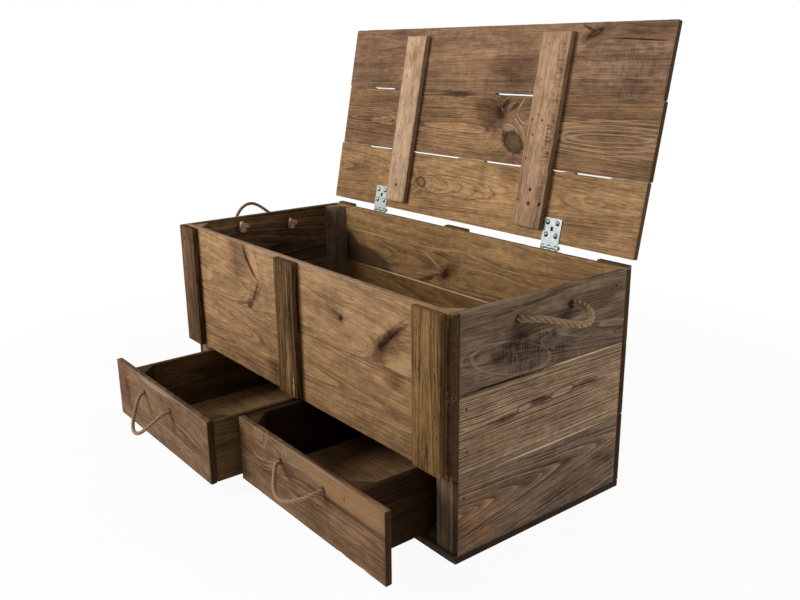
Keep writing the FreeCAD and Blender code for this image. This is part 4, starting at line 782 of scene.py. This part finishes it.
for number, side in enumerate(("left", "right")):
    body, lot = f"drawer_{side}", 110 + 20 * number
    fit_plank(body + "_front", along_x, lot, drawer_fronts[side], body, "drawer_pine", wear=0.0016, ripple=0.0009)
    # The right drawer's walls take the near-black painted-shade finish.
    wall_finish = painted_shade_walls if side == "right" else drawer_finish
    fit_plank(body + "_back", along_x, lot + 1, wall_finish, body, "drawer_pine")
    fit_plank(body + "_inner_side", along_y, lot + 2, wall_finish, body, "drawer_pine")
    fit_plank(body + "_outer_side", along_y, lot + 3, wall_finish, body, "drawer_pine")
    fit_plank(body + "_bottom", flat_x, lot + 4, drawer_sheets[number], body, "plywood", wear=0.0006, ripple=0.0003)
    block_low, block_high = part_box(body + "_corner_blocks")
    blocks, leg = bmesh.new(), 0.040
    for sign_x, x_edge in ((-1, block_low[0]), (1, block_high[0])):
        for sign_y, y_edge in ((-1, block_low[1]), (1, block_high[1])):
            ends = sorted((x_edge, x_edge - sign_x * leg)), sorted((y_edge, y_edge - sign_y * leg))
            block = corner_prism((ends[0][0], ends[1][0], block_low[2]), (ends[0][1], ends[1][1], block_high[2]),
                                 (-sign_x, -sign_y), lot + 6 + sign_x + 3 * sign_y)
            part = bpy.data.meshes.new("block")
            block.to_mesh(part)
            block.free()
            blocks.from_mesh(part)
            bpy.data.meshes.remove(part)
    dress(settle(body + "_split_blocks", blocks, block_finish), body, "drawer_pine", body + "_corner_blocks")

# ---- Rope handles --------------------------------------------------------------------------
# Each handle is one length of three-strand hemp rope. It comes out through one hole, hangs
# or stands out in a stiff loop and goes back in, held by a stopper knot behind the board.

hemp, wires = new_material("hemp_rope")
yarn = wires.add("ShaderNodeAttribute", attribute_name="yarn").outputs["Vector"]
lie = wires.add("ShaderNodeSeparateXYZ", {0: yarn}).outputs
twill = wires.calc("SINE", wires.calc("ADD", wires.calc("MULTIPLY", lie[1], 6.2832 * 7),
                                      wires.calc("MULTIPLY", lie[0], 2600.0)))
speck = wires.cloud(wires.shift("MULTIPLY", yarn, (260.0, 9.0, 3.0)), 1.0, 3.0, 0.65)
shade = wires.ramp(speck, 0.3, 0.72)
colour = wires.tint(shade, (0.66, 0.440, 0.270, 1), (0.33, 0.195, 0.108, 1))
colour = wires.tint(wires.ramp(twill, -1.0, -0.2, 0.5, 0.0), colour, (0.13, 0.068, 0.032, 1))
# Painted shade in the grooves between the strands: the surface is darkened where it lies near the rope's middle.
swell = wires.add("ShaderNodeAttribute", attribute_name="swell").outputs["Fac"]
colour = wires.tint(wires.ramp(swell, 0.66, 0.90, 0.85, 0.0), colour, (0.075, 0.040, 0.018, 1))
height = wires.calc("ADD", twill, wires.calc("MULTIPLY", speck, 1.6))
bump = wires.add("ShaderNodeBump", {"Strength": 0.6, "Distance": 0.0004, "Height": height}).outputs[0]
skin = wires.add("ShaderNodeBsdfPrincipled", {"Base Color": colour, "Roughness": 0.85, "Normal": bump,
                                              "Specular IOR Level": 0.08})
wires.add("ShaderNodeOutputMaterial", {"Surface": skin.outputs[0]})
frayed, wires = new_material("frayed_hemp")
yarn = wires.add("ShaderNodeAttribute", attribute_name="yarn").outputs["Vector"]
speck = wires.cloud(wires.shift("MULTIPLY", yarn, (320.0, 9.0, 3.0)), 1.0, 3.0, 0.65)
colour = wires.tint(wires.ramp(speck, 0.38, 0.62), (1.0, 0.76, 0.56, 1), (0.36, 0.18, 0.11, 1))
bump = wires.add("ShaderNodeBump", {"Strength": 0.8, "Distance": 0.0006, "Height": speck}).outputs[0]
skin = wires.add("ShaderNodeBsdfPrincipled", {"Base Color": colour, "Roughness": 0.9, "Normal": bump,
                                              "Specular IOR Level": 0.05})
wires.add("ShaderNodeOutputMaterial", {"Surface": skin.outputs[0]})


def smooth_line(points, name, fine=10):
    """Reads the points of a smooth NURBS line through a route."""
    line = bpy.data.curves.new(name, "CURVE")
    line.dimensions, line.resolution_u = "3D", fine
    spline = line.splines.new("NURBS")
    spline.points.add(len(points) - 1)
    for point, place in zip(spline.points, points):
        point.co = (*place, 1.0)
    spline.order_u, spline.use_endpoint_u = 3, True
    holder = bpy.data.objects.new(name, line)
    mesh = bpy.data.meshes.new_from_object(holder)
    places = [vert.co.copy() for vert in mesh.vertices]
    bpy.data.objects.remove(holder)
    bpy.data.meshes.remove(mesh)
    return places


def lay_strands(name, path, across, pitch, start=0.0, strands=3, sides=10):
    """Twists strands of yarn round a path and returns them as one mesh with a yarn attribute."""
    tangents = [((path[min(i + 1, len(path) - 1)] - path[max(i - 1, 0)]).normalized()) for i in range(len(path))]
    side = tangents[0].orthogonal().normalized()
    sides_on, run = [], [0.0]
    for index, tangent in enumerate(tangents):
        side = (side - tangent * side.dot(tangent)).normalized()
        sides_on.append(side)
        if index:
            run.append(run[-1] + (path[index] - path[index - 1]).length)
    strand, joined = across * 0.296, bmesh.new()
    for number in range(strands):
        stations = []
        for point, tangent, side, gone in zip(path, tangents, sides_on, run):
            angle = start + 2 * math.pi * (gone / pitch + number / strands)
            out = side * math.cos(angle) + tangent.cross(side) * math.sin(angle)
            lean = (tangent + tangent.cross(out) * (2 * math.pi * across * 0.232 / pitch)).normalized()
            up = (out - lean * out.dot(lean)).normalized()
            turn = Matrix((lean.cross(up), up, lean)).transposed().to_4x4()
            stations.append(Matrix.Translation(point + out * across * 0.232) @ turn)
        shape = bmesh.new()
        yarn_layer = shape.verts.layers.float_vector.new("yarn")
        swell_layer = shape.verts.layers.float.new("swell")
        ring = bmesh.ops.create_circle(shape, cap_ends=True, segments=sides, radius=strand, matrix=stations[0])["verts"]
        for spot, vert in enumerate(ring):
            vert[yarn_layer] = Vector((0.0, spot / sides, number * 3.3))
        rim = shape.edges[:]
        for before, after, gone in zip(stations, stations[1:], run[1:]):
            grown = bmesh.ops.extrude_edge_only(shape, edges=rim)["geom"]
            ring = [part for part in grown if isinstance(part, bmesh.types.BMVert)]
            fresh = set(ring)
            rim = [part for part in grown if isinstance(part, bmesh.types.BMEdge) and fresh.issuperset(part.verts)]
            bmesh.ops.transform(shape, matrix=after @ before.inverted(), verts=ring)
            for vert in ring:
                vert[yarn_layer].x = gone
                # swell, how far a point lies from the rope's middle, is what the rope's material darkens by as painted
                # shade in the grooves.
                vert[swell_layer] = (vert.co - path[run.index(gone)]).length / (across * 0.528)
        bmesh.ops.contextual_create(shape, geom=rim)
        part = bpy.data.meshes.new("strand")
        shape.to_mesh(part)
        shape.free()
        joined.from_mesh(part)
        bpy.data.meshes.remove(part)
    return joined


def stopper(seat, inward, bulk, lead):
    """The rope's route through the board and round its stopper knot."""
    inward = Vector(inward)
    side = Vector((0, 0, 1)) if abs(inward.z) < 0.5 else Vector((1, 0, 0))
    other = inward.cross(side)
    size, points = bulk * 0.46, [Vector(seat), Vector(seat) + inward * lead * 0.5, Vector(seat) + inward * lead]
    middle = Vector(seat) + inward * (lead + bulk * 0.75)
    for step in range(17):
        angle = math.radians(-60 + 330 * step / 16)
        ahead = math.sin(3 * angle) * bulk * 0.33
        points.append(middle + side * size * (math.sin(angle) + 1.15 * math.sin(2 * angle)) * 0.62
                      + other * size * (math.cos(angle) - 1.15 * math.cos(2 * angle)) * 0.62 - inward * ahead)
    return points


rope_mm = 0.001
end_routes = {
    "right": ((-76, 12, 415), (-54, 33, 418), (-22, 56, 408), (12, 68, 400), (41, 60, 404), (59, 38, 413),
              (64, 14, 415)),
    "left": ((-80, 13, 426), (-72, 28, 441), (-45, 43, 463), (-14, 52, 469), (6, 43, 460), (35, 25, 432),
             (60, 14, 417))}
drawer_routes = {
    "left": ((-318, 11, 119), (-303, 27, 100), (-278, 46, 82), (-247, 60, 69), (-216, 60, 73), (-196, 43, 94),
             (-183, 17, 119)),
    "right": ((161.5, 11, 119), (180, 25, 104), (206, 42, 93), (236, 50, 91), (265, 45, 97), (288, 30, 108),
              (302.5, 12, 119))}
handles = []
for side, route in end_routes.items():
    outward = 1 if side == "right" else -1
    route = ((route[0][0], 0, route[0][2]), *route, (route[-1][0], 0, route[-1][2]))
    places = [Vector((outward * (480 + out), y, z)) * rope_mm for y, out, z in route]
    handles.append((f"handle_{side}", "carcass", places, Vector((-outward, 0, 0)),
                    *((0.012, 0.0120, 0.2152) if side == "right" else (0.008, 0.0145, 0.2145))))
for side, route in drawer_routes.items():
    pull = 200 if side == "left" else 138
    route = ((route[0][0], 0, route[0][2]), *route, (route[-1][0], 0, route[-1][2]))
    places = [Vector((x, -223 - pull - out, z)) * rope_mm for x, out, z in route]
    handles.append((f"drawer_{side}_handle", f"drawer_{side}", places, Vector((0, 1, 0)), 0.008, 0.008,
                    0.2280 if side == "left" else 0.1968))
fuzz = random.Random(5)
for name, body, places, inward, across, bulk, length in handles:
    line = smooth_line(places, name, 14)
    rope = settle(f"{name}_strands", lay_strands(name, line, across, across * 3.1), hemp, math.radians(80))
    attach(rope, body)
    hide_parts(f"{name}_rope")
    knots = bmesh.new()
    for seat in (places[0], places[-1]):
        route = stopper(seat, inward, bulk, 0.014)
        tied = lay_strands(name, smooth_line(route[1:], name, 6), bulk * 0.9, bulk * 2.9)
        for _ in range(34):
            aim = (inward * 0.5 + Vector([fuzz.uniform(-1, 1) for _ in range(3)])).normalized()
            reach = bulk * fuzz.uniform(0.25, 0.5)
            spot = route[-1] + aim * (reach / 2 + bulk * 0.1)
            bmesh.ops.create_cone(tied, cap_ends=True, segments=5, radius1=bulk * 0.05, radius2=bulk * 0.015,
                                  depth=reach, matrix=Matrix.Translation(spot) @ aim.to_track_quat("Z", "Y").to_matrix().to_4x4())
        part = bpy.data.meshes.new("tied")
        tied.to_mesh(part)
        knots.from_mesh(part)
        tied.free()
    tie = settle(f"{name}_stoppers", knots, frayed, math.radians(80))
    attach(tie, body)
    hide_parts(f"{name}_knots")

# ---- Lid -------------------------------------------------------------------------------------
# Three boards side by side with open seams between them, held by two battens screwed
# across the underside. It is built shut and then swung back on its hinge line.

lid_rear_y, lid_under = 0.2176, 0.4518
swing = (Matrix.Translation((0, 0.2272, 0.4544)) @ Matrix.Rotation(math.radians(-101.3), 4, "X")
         @ Matrix.Translation((0, -0.2272, -0.4544)))
from_rear = swing @ Matrix.Translation((0, lid_rear_y, lid_under)) @ Matrix.Scale(-1.0, 4, Vector((0, 1, 0)))
amber, umber, rose = (0.52, 0.33, 0.165), (0.15, 0.075, 0.032), (0.50, 0.335, 0.215)
lid_finishes = {
    "lid_board_rear": pine(
        "pine_lid_rear", (0.400, 0.235, 0.112), 35.7, deep=0.50, line=1.25, pith=(0.0, 0.088, -0.030), ring=0.0062,
        taper=0.05, wander=0.016, line_share=0.38, streak=0.4, thread=0.18, face=-0.006,
        knots=(knot((-0.070, 0.077), (0.095, 0.020), 1, 0.010, cored=0.0, spread=0.9),
               knot((-0.1535, 0.0755), (0.0180, 0.0120), -20, 0.012, core=(0.27, 0.145, 0.060), dark=(0.085, 0.040, 0.015),
                    turns=1.15, halo=1.3, halo_share=0.2, ragged=0.14),
               knot((0.350, 0.090), (0.070, 0.012), 0, 0.008, cored=0.0, spread=0.9)),
        marks_and_painted_light=(mark_or_painted_light((-0.440, 0.060), (0.200, 0.110), 0, 0.60, (0.56, 0.50, 0.45), 1.0),
                mark_or_painted_light((0.080, 0.070), (0.220, 0.070), 0, 0.75, (1.30, 1.30, 1.24), 0.9),
                # Painted shade: dark spots on the board under the windows of the two hinge leaves.
                mark_or_painted_light((0.273, 0.0270), (0.0060, 0.0070), 0, 0.97, (0.06, 0.05, 0.05), 0.4, 0.1),
                mark_or_painted_light((-0.2965, 0.0270), (0.0060, 0.0070), 0, 0.97, (0.06, 0.05, 0.05), 0.4, 0.1),
                *(loop((-0.145 + 0.0120 * step, 0.0765), (0.030 + 0.0135 * step, 0.0150 + 0.0010 * step), 0,
                       shade, share, 0.0013, 0.4) for step in range(9)
                  for shade, share in ((((amber, 0.60) if step % 2 else (umber, 0.75)),))),
                loop((0.361, 0.0905), (0.026, 0.0050), 4, amber, 0.70, 0.0014, 0.2),
                loop((0.375, 0.0930), (0.078, 0.0130), 2, amber, 0.55, 0.0012, 0.2),
                ray((0.391, 0.090), (0.458, 0.111), 0.0010, amber, 0.45, 0.003),
                ray((0.391, 0.090), (0.462, 0.086), 0.0010, amber, 0.45, 0.002),
                ray((-0.445, 0.057), (-0.391, 0.077), 0.0016, umber, 0.45, 0.004),
                ray((-0.391, 0.077), (-0.296, 0.075), 0.0012, umber, 0.40, 0.006),
                ray((-0.438, 0.099), (-0.420, 0.080), 0.0014, umber, 0.45, -0.003),
                ray((-0.420, 0.098), (-0.400, 0.080), 0.0014, umber, 0.40, -0.003),
                mark_or_painted_light((0.130, 0.120), (0.040, 0.030), 0, 0.45, (0.5, 0.45, 0.42), 0.9))),
    "lid_board_middle": pine(
        "pine_lid_middle", (0.270, 0.156, 0.080), 37.4, deep=0.45, line=1.45, pith=(0.2, 0.214, -0.020), ring=0.0050,
        taper=-0.03, wander=0.016, line_share=0.46, streak=0.4, thread=0.22, face=-0.006,
        knots=(knot((0.1265, 0.1905), (0.0285, 0.0180), -28, 0.034, core=(0.145, 0.090, 0.042), dark=(0.034, 0.020, 0.010),
                    turns=1.7, ringed=0.30, halo=1.5, halo_share=0.55, rim=0.62, crust=0.0068, cored=0.66, ragged=0.5),
               knot((0.0760, 0.249), (0.009, 0.011), 0, 0.020, cored=0.0)),
        marks_and_painted_light=(mark_or_painted_light((-0.430, 0.218), (0.190, 0.110), 0, 0.60, (0.58, 0.52, 0.48), 1.0),
                mark_or_painted_light((-0.030, 0.212), (0.170, 0.080), 0, 0.78, (1.52, 1.48, 1.40), 0.9),
                *(loop((0.375, 0.217), (0.098 + 0.028 * step, 0.0075 + 0.0085 * step), 2, rose, 0.66, 0.0012, 0.12)
                  for step in range(4)),
                *(loop((-0.395, 0.217), (0.072 + 0.030 * step, 0.0050 + 0.0075 * step), 2, (0.44, 0.27, 0.15), 0.52,
                       0.0011, 0.15) for step in range(3)),
                loop((-0.110, 0.203), (0.075, 0.0090), 3, (0.42, 0.26, 0.13), 0.40, 0.0011, 0.15),
                mark_or_painted_light((0.045, 0.245), (0.075, 0.046), 0, 0.85, (0.42, 0.37, 0.37), 0.95, 0.5),
                mark_or_painted_light((0.066, 0.238), (0.022, 0.044), 0, 0.65, (0.46, 0.38, 0.40), 0.9, 0.6),
                mark_or_painted_light((0.120, 0.240), (0.030, 0.044), 10, 0.35, (0.30, 0.19, 0.11), 0.7, 0.4, blend="MIX"),
                mark_or_painted_light((0.085, 0.268), (0.022, 0.0065), 42, 0.95, (0.20, 0.13, 0.10), 0.6, 0.6),
                mark_or_painted_light((0.114, 0.266), (0.018, 0.0055), 38, 0.90, (0.30, 0.15, 0.12), 0.6, 0.4),
                mark_or_painted_light((0.104, 0.197), (0.015, 0.024), 28, 0.95, (0.15, 0.075, 0.10), 0.8, 0.8),
                mark_or_painted_light((0.138, 0.192), (0.010, 0.014), 20, 0.60, (0.30, 0.215, 0.13), 0.9, 0.4, blend="MIX"),
                mark_or_painted_light((0.136, 0.176), (0.016, 0.009), -55, 0.60, (0.30, 0.24, 0.20), 0.9, 0.4),
                mark_or_painted_light((0.118, 0.200), (0.012, 0.008), -30, 0.35, (0.20, 0.135, 0.065), 0.9, 0.3, blend="MIX"),
                mark_or_painted_light((0.075, 0.252), (0.019, 0.024), 20, 0.75, (0.36, 0.29, 0.27), 0.9, 1.0),
                mark_or_painted_light((0.080, 0.243), (0.008, 0.005), 30, 0.65, (0.34, 0.19, 0.14), 0.8, 1.4),
                mark_or_painted_light((0.070, 0.255), (0.004, 0.010), 20, 0.65, (0.26, 0.18, 0.15), 0.8, 1.4),
                mark_or_painted_light((0.078, 0.259), (0.003, 0.006), 30, 0.50, (0.30, 0.22, 0.16), 0.8, 1.0, blend="MIX"),
                mark_or_painted_light((0.070, 0.227), (0.014, 0.009), 30, 0.35, (0.25, 0.185, 0.135), 0.9, 1.4, blend="MIX"),
                mark_or_painted_light((0.104, 0.219), (0.020, 0.008), -12, 0.60, (0.42, 0.265, 0.16), 0.7, 0.2, blend="MIX"),
                *(ray(start, stop, 0.0014, (0.54, 0.36, 0.24), 0.85, bow) for start, stop, bow in (
                    ((0.143, 0.289), (0.123, 0.255), -0.001), ((0.123, 0.256), (0.126, 0.246), -0.001),
                    ((0.126, 0.247), (0.160, 0.229), -0.003), ((0.088, 0.226), (0.122, 0.223), 0.003),
                    ((0.122, 0.223), (0.134, 0.212), 0.001), ((0.116, 0.243), (0.134, 0.229), 0.001),
                    ((0.133, 0.230), (0.149, 0.215), 0.001), ((0.148, 0.216), (0.157, 0.196), 0.001))),
                *(ray(start, stop, 0.0012, (0.10, 0.052, 0.030), 0.65, bow) for start, stop, bow in (
                    ((0.130, 0.285), (0.119, 0.252), -0.001), ((0.119, 0.252), (0.150, 0.226), -0.003),
                    ((0.110, 0.232), (0.146, 0.208), 0.003))),
                mark_or_painted_light((-0.070, 0.2868), (0.062, 0.0095), 0, 0.95, (0.26, 0.21, 0.26), 0.6, 0.3),
                mark_or_painted_light((0.350, 0.210), (0.130, 0.010), 0, 0.3, (0.6, 0.55, 0.52), 0.8, 0.6))),
    "lid_board_front": pine(
        "pine_lid_front", (0.275, 0.160, 0.091), 39.1, deep=0.5, line=1.25, pith=(0.1, 0.403, -0.045), ring=0.0056,
        taper=0.02, wander=0.016, line_share=0.32, streak=0.4, thread=0.18, face=-0.006,
        sawn=mark_or_painted_light((0.400, 0.353), (0.160, 0.070), 0, 0.5, soft=0.7, ragged=0.6),
        knots=(knot((0.298, 0.416), (0.017, 0.0050), 24, 0.018, core=(0.10, 0.045, 0.025), dark=(0.03, 0.016, 0.010),
                    turns=0.9, halo=2.6, halo_share=0.6, ragged=0.4),),
        marks_and_painted_light=(mark_or_painted_light((-0.430, 0.363), (0.190, 0.110), 0, 0.68, (0.56, 0.54, 0.54), 1.0),
                mark_or_painted_light((0.000, 0.363), (0.170, 0.060), 0, 0.40, (1.30, 1.27, 1.20), 0.9),
                mark_or_painted_light((0.400, 0.365), (0.130, 0.080), 0, 0.60, (1.22, 1.28, 1.55), 0.9),
                mark_or_painted_light((0.108, 0.350), (0.075, 0.044), 0, 0.85, (0.42, 0.37, 0.39), 0.95, 0.5),
                crack((0.281, 0.424), 0.044, -24, 0.0034, 0.0, 0.8),
                mark_or_painted_light((0.295, 0.386), (0.034, 0.012), 36, 0.6, (0.45, 0.38, 0.36), 0.9, 0.7),
                crack((0.402, 0.4022), 0.150, -3, 0.0017, 0.0, 0.95),
                mark_or_painted_light((0.400, 0.415), (0.100, 0.018), -3, 0.6, (0.5, 0.42, 0.42), 0.9),
                mark_or_painted_light((0.245, 0.383), (0.050, 0.020), -50, 0.35, (0.55, 0.5, 0.5), 0.9, 0.7),
                mark_or_painted_light((-0.305, 0.427), (0.040, 0.008), 0, 0.6, (0.4, 0.35, 0.35), 0.8, 0.6),
                mark_or_painted_light((0.400, 0.313), (0.050, 0.020), 0, 0.4, (0.55, 0.5, 0.5), 0.9)))}
lid_boards = {
    "lid_board_rear": ((0.0, 0.1451), (-0.499, 0.480), (
        (-0.379, -0.290, 0.0022), (-0.197, -0.042, 0.0026), (0.048, 0.158, 0.0026), (0.249, 0.271, 0.0018),
        (0.307, 0.391, 0.0024))),
    "lid_board_middle": ((0.1451, 0.2930), (-0.493, 0.482), ((-0.384, -0.310, 0.0032), (0.054, 0.164, 0.0036))),
    "lid_board_front": ((0.2930, 0.4362), (-0.496, 0.480), ())}
for number, (name, ((near, far), (left, right), slits)) in enumerate(lid_boards.items()):
    board = plank((left, near, 0.0), (right, far, 0.012), flat_x, 140 + number, ripple=0.0005, corner=0.003,
                  notches=slits, tight=True, turn=from_rear)
    dress(settle("worn_" + name, board, lid_finishes[name]), "lid", "lid_pine", name)

lid_batten_finishes = {
    "lid_batten_left": pine(
        "pine_lid_batten_left", (0.470, 0.310, 0.196), 42.5, deep=0.62, line=1.15, pith=(0.2, -0.23, -0.030), ring=0.007,
        wander=0.03, line_share=0.3, thread=0.2, saw=0.1,
        marks_and_painted_light=(mark_or_painted_light((0.365, -0.232), (0.032, 0.022), 30, 0.55, (0.62, 0.50, 0.42), 0.9, 0.5),
                *(nail_hole(at, 0.0024) for at in ((0.170, -0.2615), (0.130, -0.257), (0.124, -0.230))),
                nail_hole((0.059, -0.2307), 0.0044))),
    "lid_batten_right": pine(
        "pine_lid_batten_right", (0.428, 0.264, 0.158), 44.1, deep=0.6, line=1.2, pith=(0.2, 0.21, -0.030), ring=0.007,
        wander=0.03, line_share=0.3, thread=0.25, sawn=mark_or_painted_light((0.232, 0.234), (0.220, 0.015), 0, 0.9, soft=0.5, ragged=0.5),
        marks_and_painted_light=(mark_or_painted_light((0.200, 0.238), (0.210, 0.013), 0, 0.45, (0.72, 0.68, 0.66), 0.6, 0.5),
                *(nail_hole(at, 0.0026) for at in ((0.2405, 0.183), (0.2405, 0.2095), (0.161, 0.182), (0.210, 0.190),
                                                    (0.0747, 0.179))),
                nail_hole((0.099, 0.2085), 0.0046), nail_hole((0.070, 0.2095), 0.0052),
                nail_hole((0.0725, 0.2395), 0.0050)))}
lid_battens = (("lid_batten_left", (0.018, 0.416), (-0.265, -0.194)), ("lid_batten_right", (0.021, 0.419), (0.172, 0.249)))
for number, (name, (near, far), (left, right)) in enumerate(lid_battens):
    batten = plank((left, near, -0.014), (right, far, 0.0), (1, 0, 2), 146 + number, wear=0.0016, ripple=0.0010,
                   corner=0.002, turn=from_rear)
    dress(settle("worn_" + name, batten, lid_batten_finishes[name]), "lid", "lid_pine", name)

# ---- Hinges, screws and nails ------------------------------------------------------------------
# Two zinc-plated strap hinges with rolled knuckles on a steel pin, held by dome-head screws.
# Iron nails fix the battens.


def plated(name, bright, dull, rough):
    """Zinc plate: a faint spangle, dulled in patches."""
    material, wires = new_material(name)
    place = wires.add("ShaderNodeTexCoord").outputs["Object"]
    spangle = wires.add("ShaderNodeTexVoronoi", {"Vector": place, "Scale": 420.0}).outputs["Color"]
    share = wires.add("ShaderNodeSeparateColor", {0: spangle}).outputs[0]
    haze = wires.cloud(place, 190.0, 3.0, 0.6)
    colour = wires.tint(wires.calc("MULTIPLY", wires.calc("ADD", share, haze), 0.5), (*bright, 1), (*dull, 1))
    coarse = wires.calc("ADD", rough, wires.calc("MULTIPLY", haze, 0.25))
    bump = wires.add("ShaderNodeBump", {"Strength": 0.3, "Distance": 0.0002, "Height": haze}).outputs[0]
    body = wires.add("ShaderNodeBsdfPrincipled", {"Base Color": colour, "Roughness": coarse, "Metallic": 1.0,
                                                  "Normal": bump})
    wires.add("ShaderNodeOutputMaterial", {"Surface": body.outputs[0]})
    return material


zinc = plated("zinc_plate", (0.360, 0.395, 0.385), (0.190, 0.210, 0.205), 0.40)
screw_steel = plated("screw_steel", (0.30, 0.33, 0.325), (0.10, 0.11, 0.11), 0.22)


def stained_iron(name, dye, right_dye):
    """Nail heads under the same stain as their batten, a little rusty; the right battens are paler."""
    material, wires = new_material(name)
    place = wires.add("ShaderNodeTexCoord").outputs["Object"]
    rust = wires.cloud(place, 900.0, 3.0, 0.6)
    rightward = wires.ramp(wires.add("ShaderNodeSeparateXYZ", {0: place}).outputs[0], 0.10, 0.16)
    dyed = wires.tint(rightward, (*dye, 1), (*right_dye, 1))
    colour = wires.tint(wires.ramp(rust, 0.35, 0.65, 0.0, 0.5), dyed, (*(part * 0.6 for part in dye), 1))
    body = wires.add("ShaderNodeBsdfPrincipled", {"Base Color": colour, "Roughness": 0.6, "Specular IOR Level": 0.1})
    wires.add("ShaderNodeOutputMaterial", {"Surface": body.outputs[0]})
    return material


hardware = {"hinge_pins": screw_steel, "hinge_screws_back": screw_steel, "hinge_screws_lid": screw_steel,
            "carcass_nails": stained_iron("nail_dark", (0.095, 0.052, 0.020), (0.225, 0.128, 0.050)),
            "lid_nails": stained_iron("nail_light", (0.48, 0.32, 0.20), (0.40, 0.25, 0.15))}
for level in ("upper", "lower"):
    for side in ("left", "right"):
        hardware[f"hinge_{level}_leaf_{side}"] = zinc
for node, material in hardware.items():
    for slot in bpy.data.objects[node].material_slots:
        slot.material = material
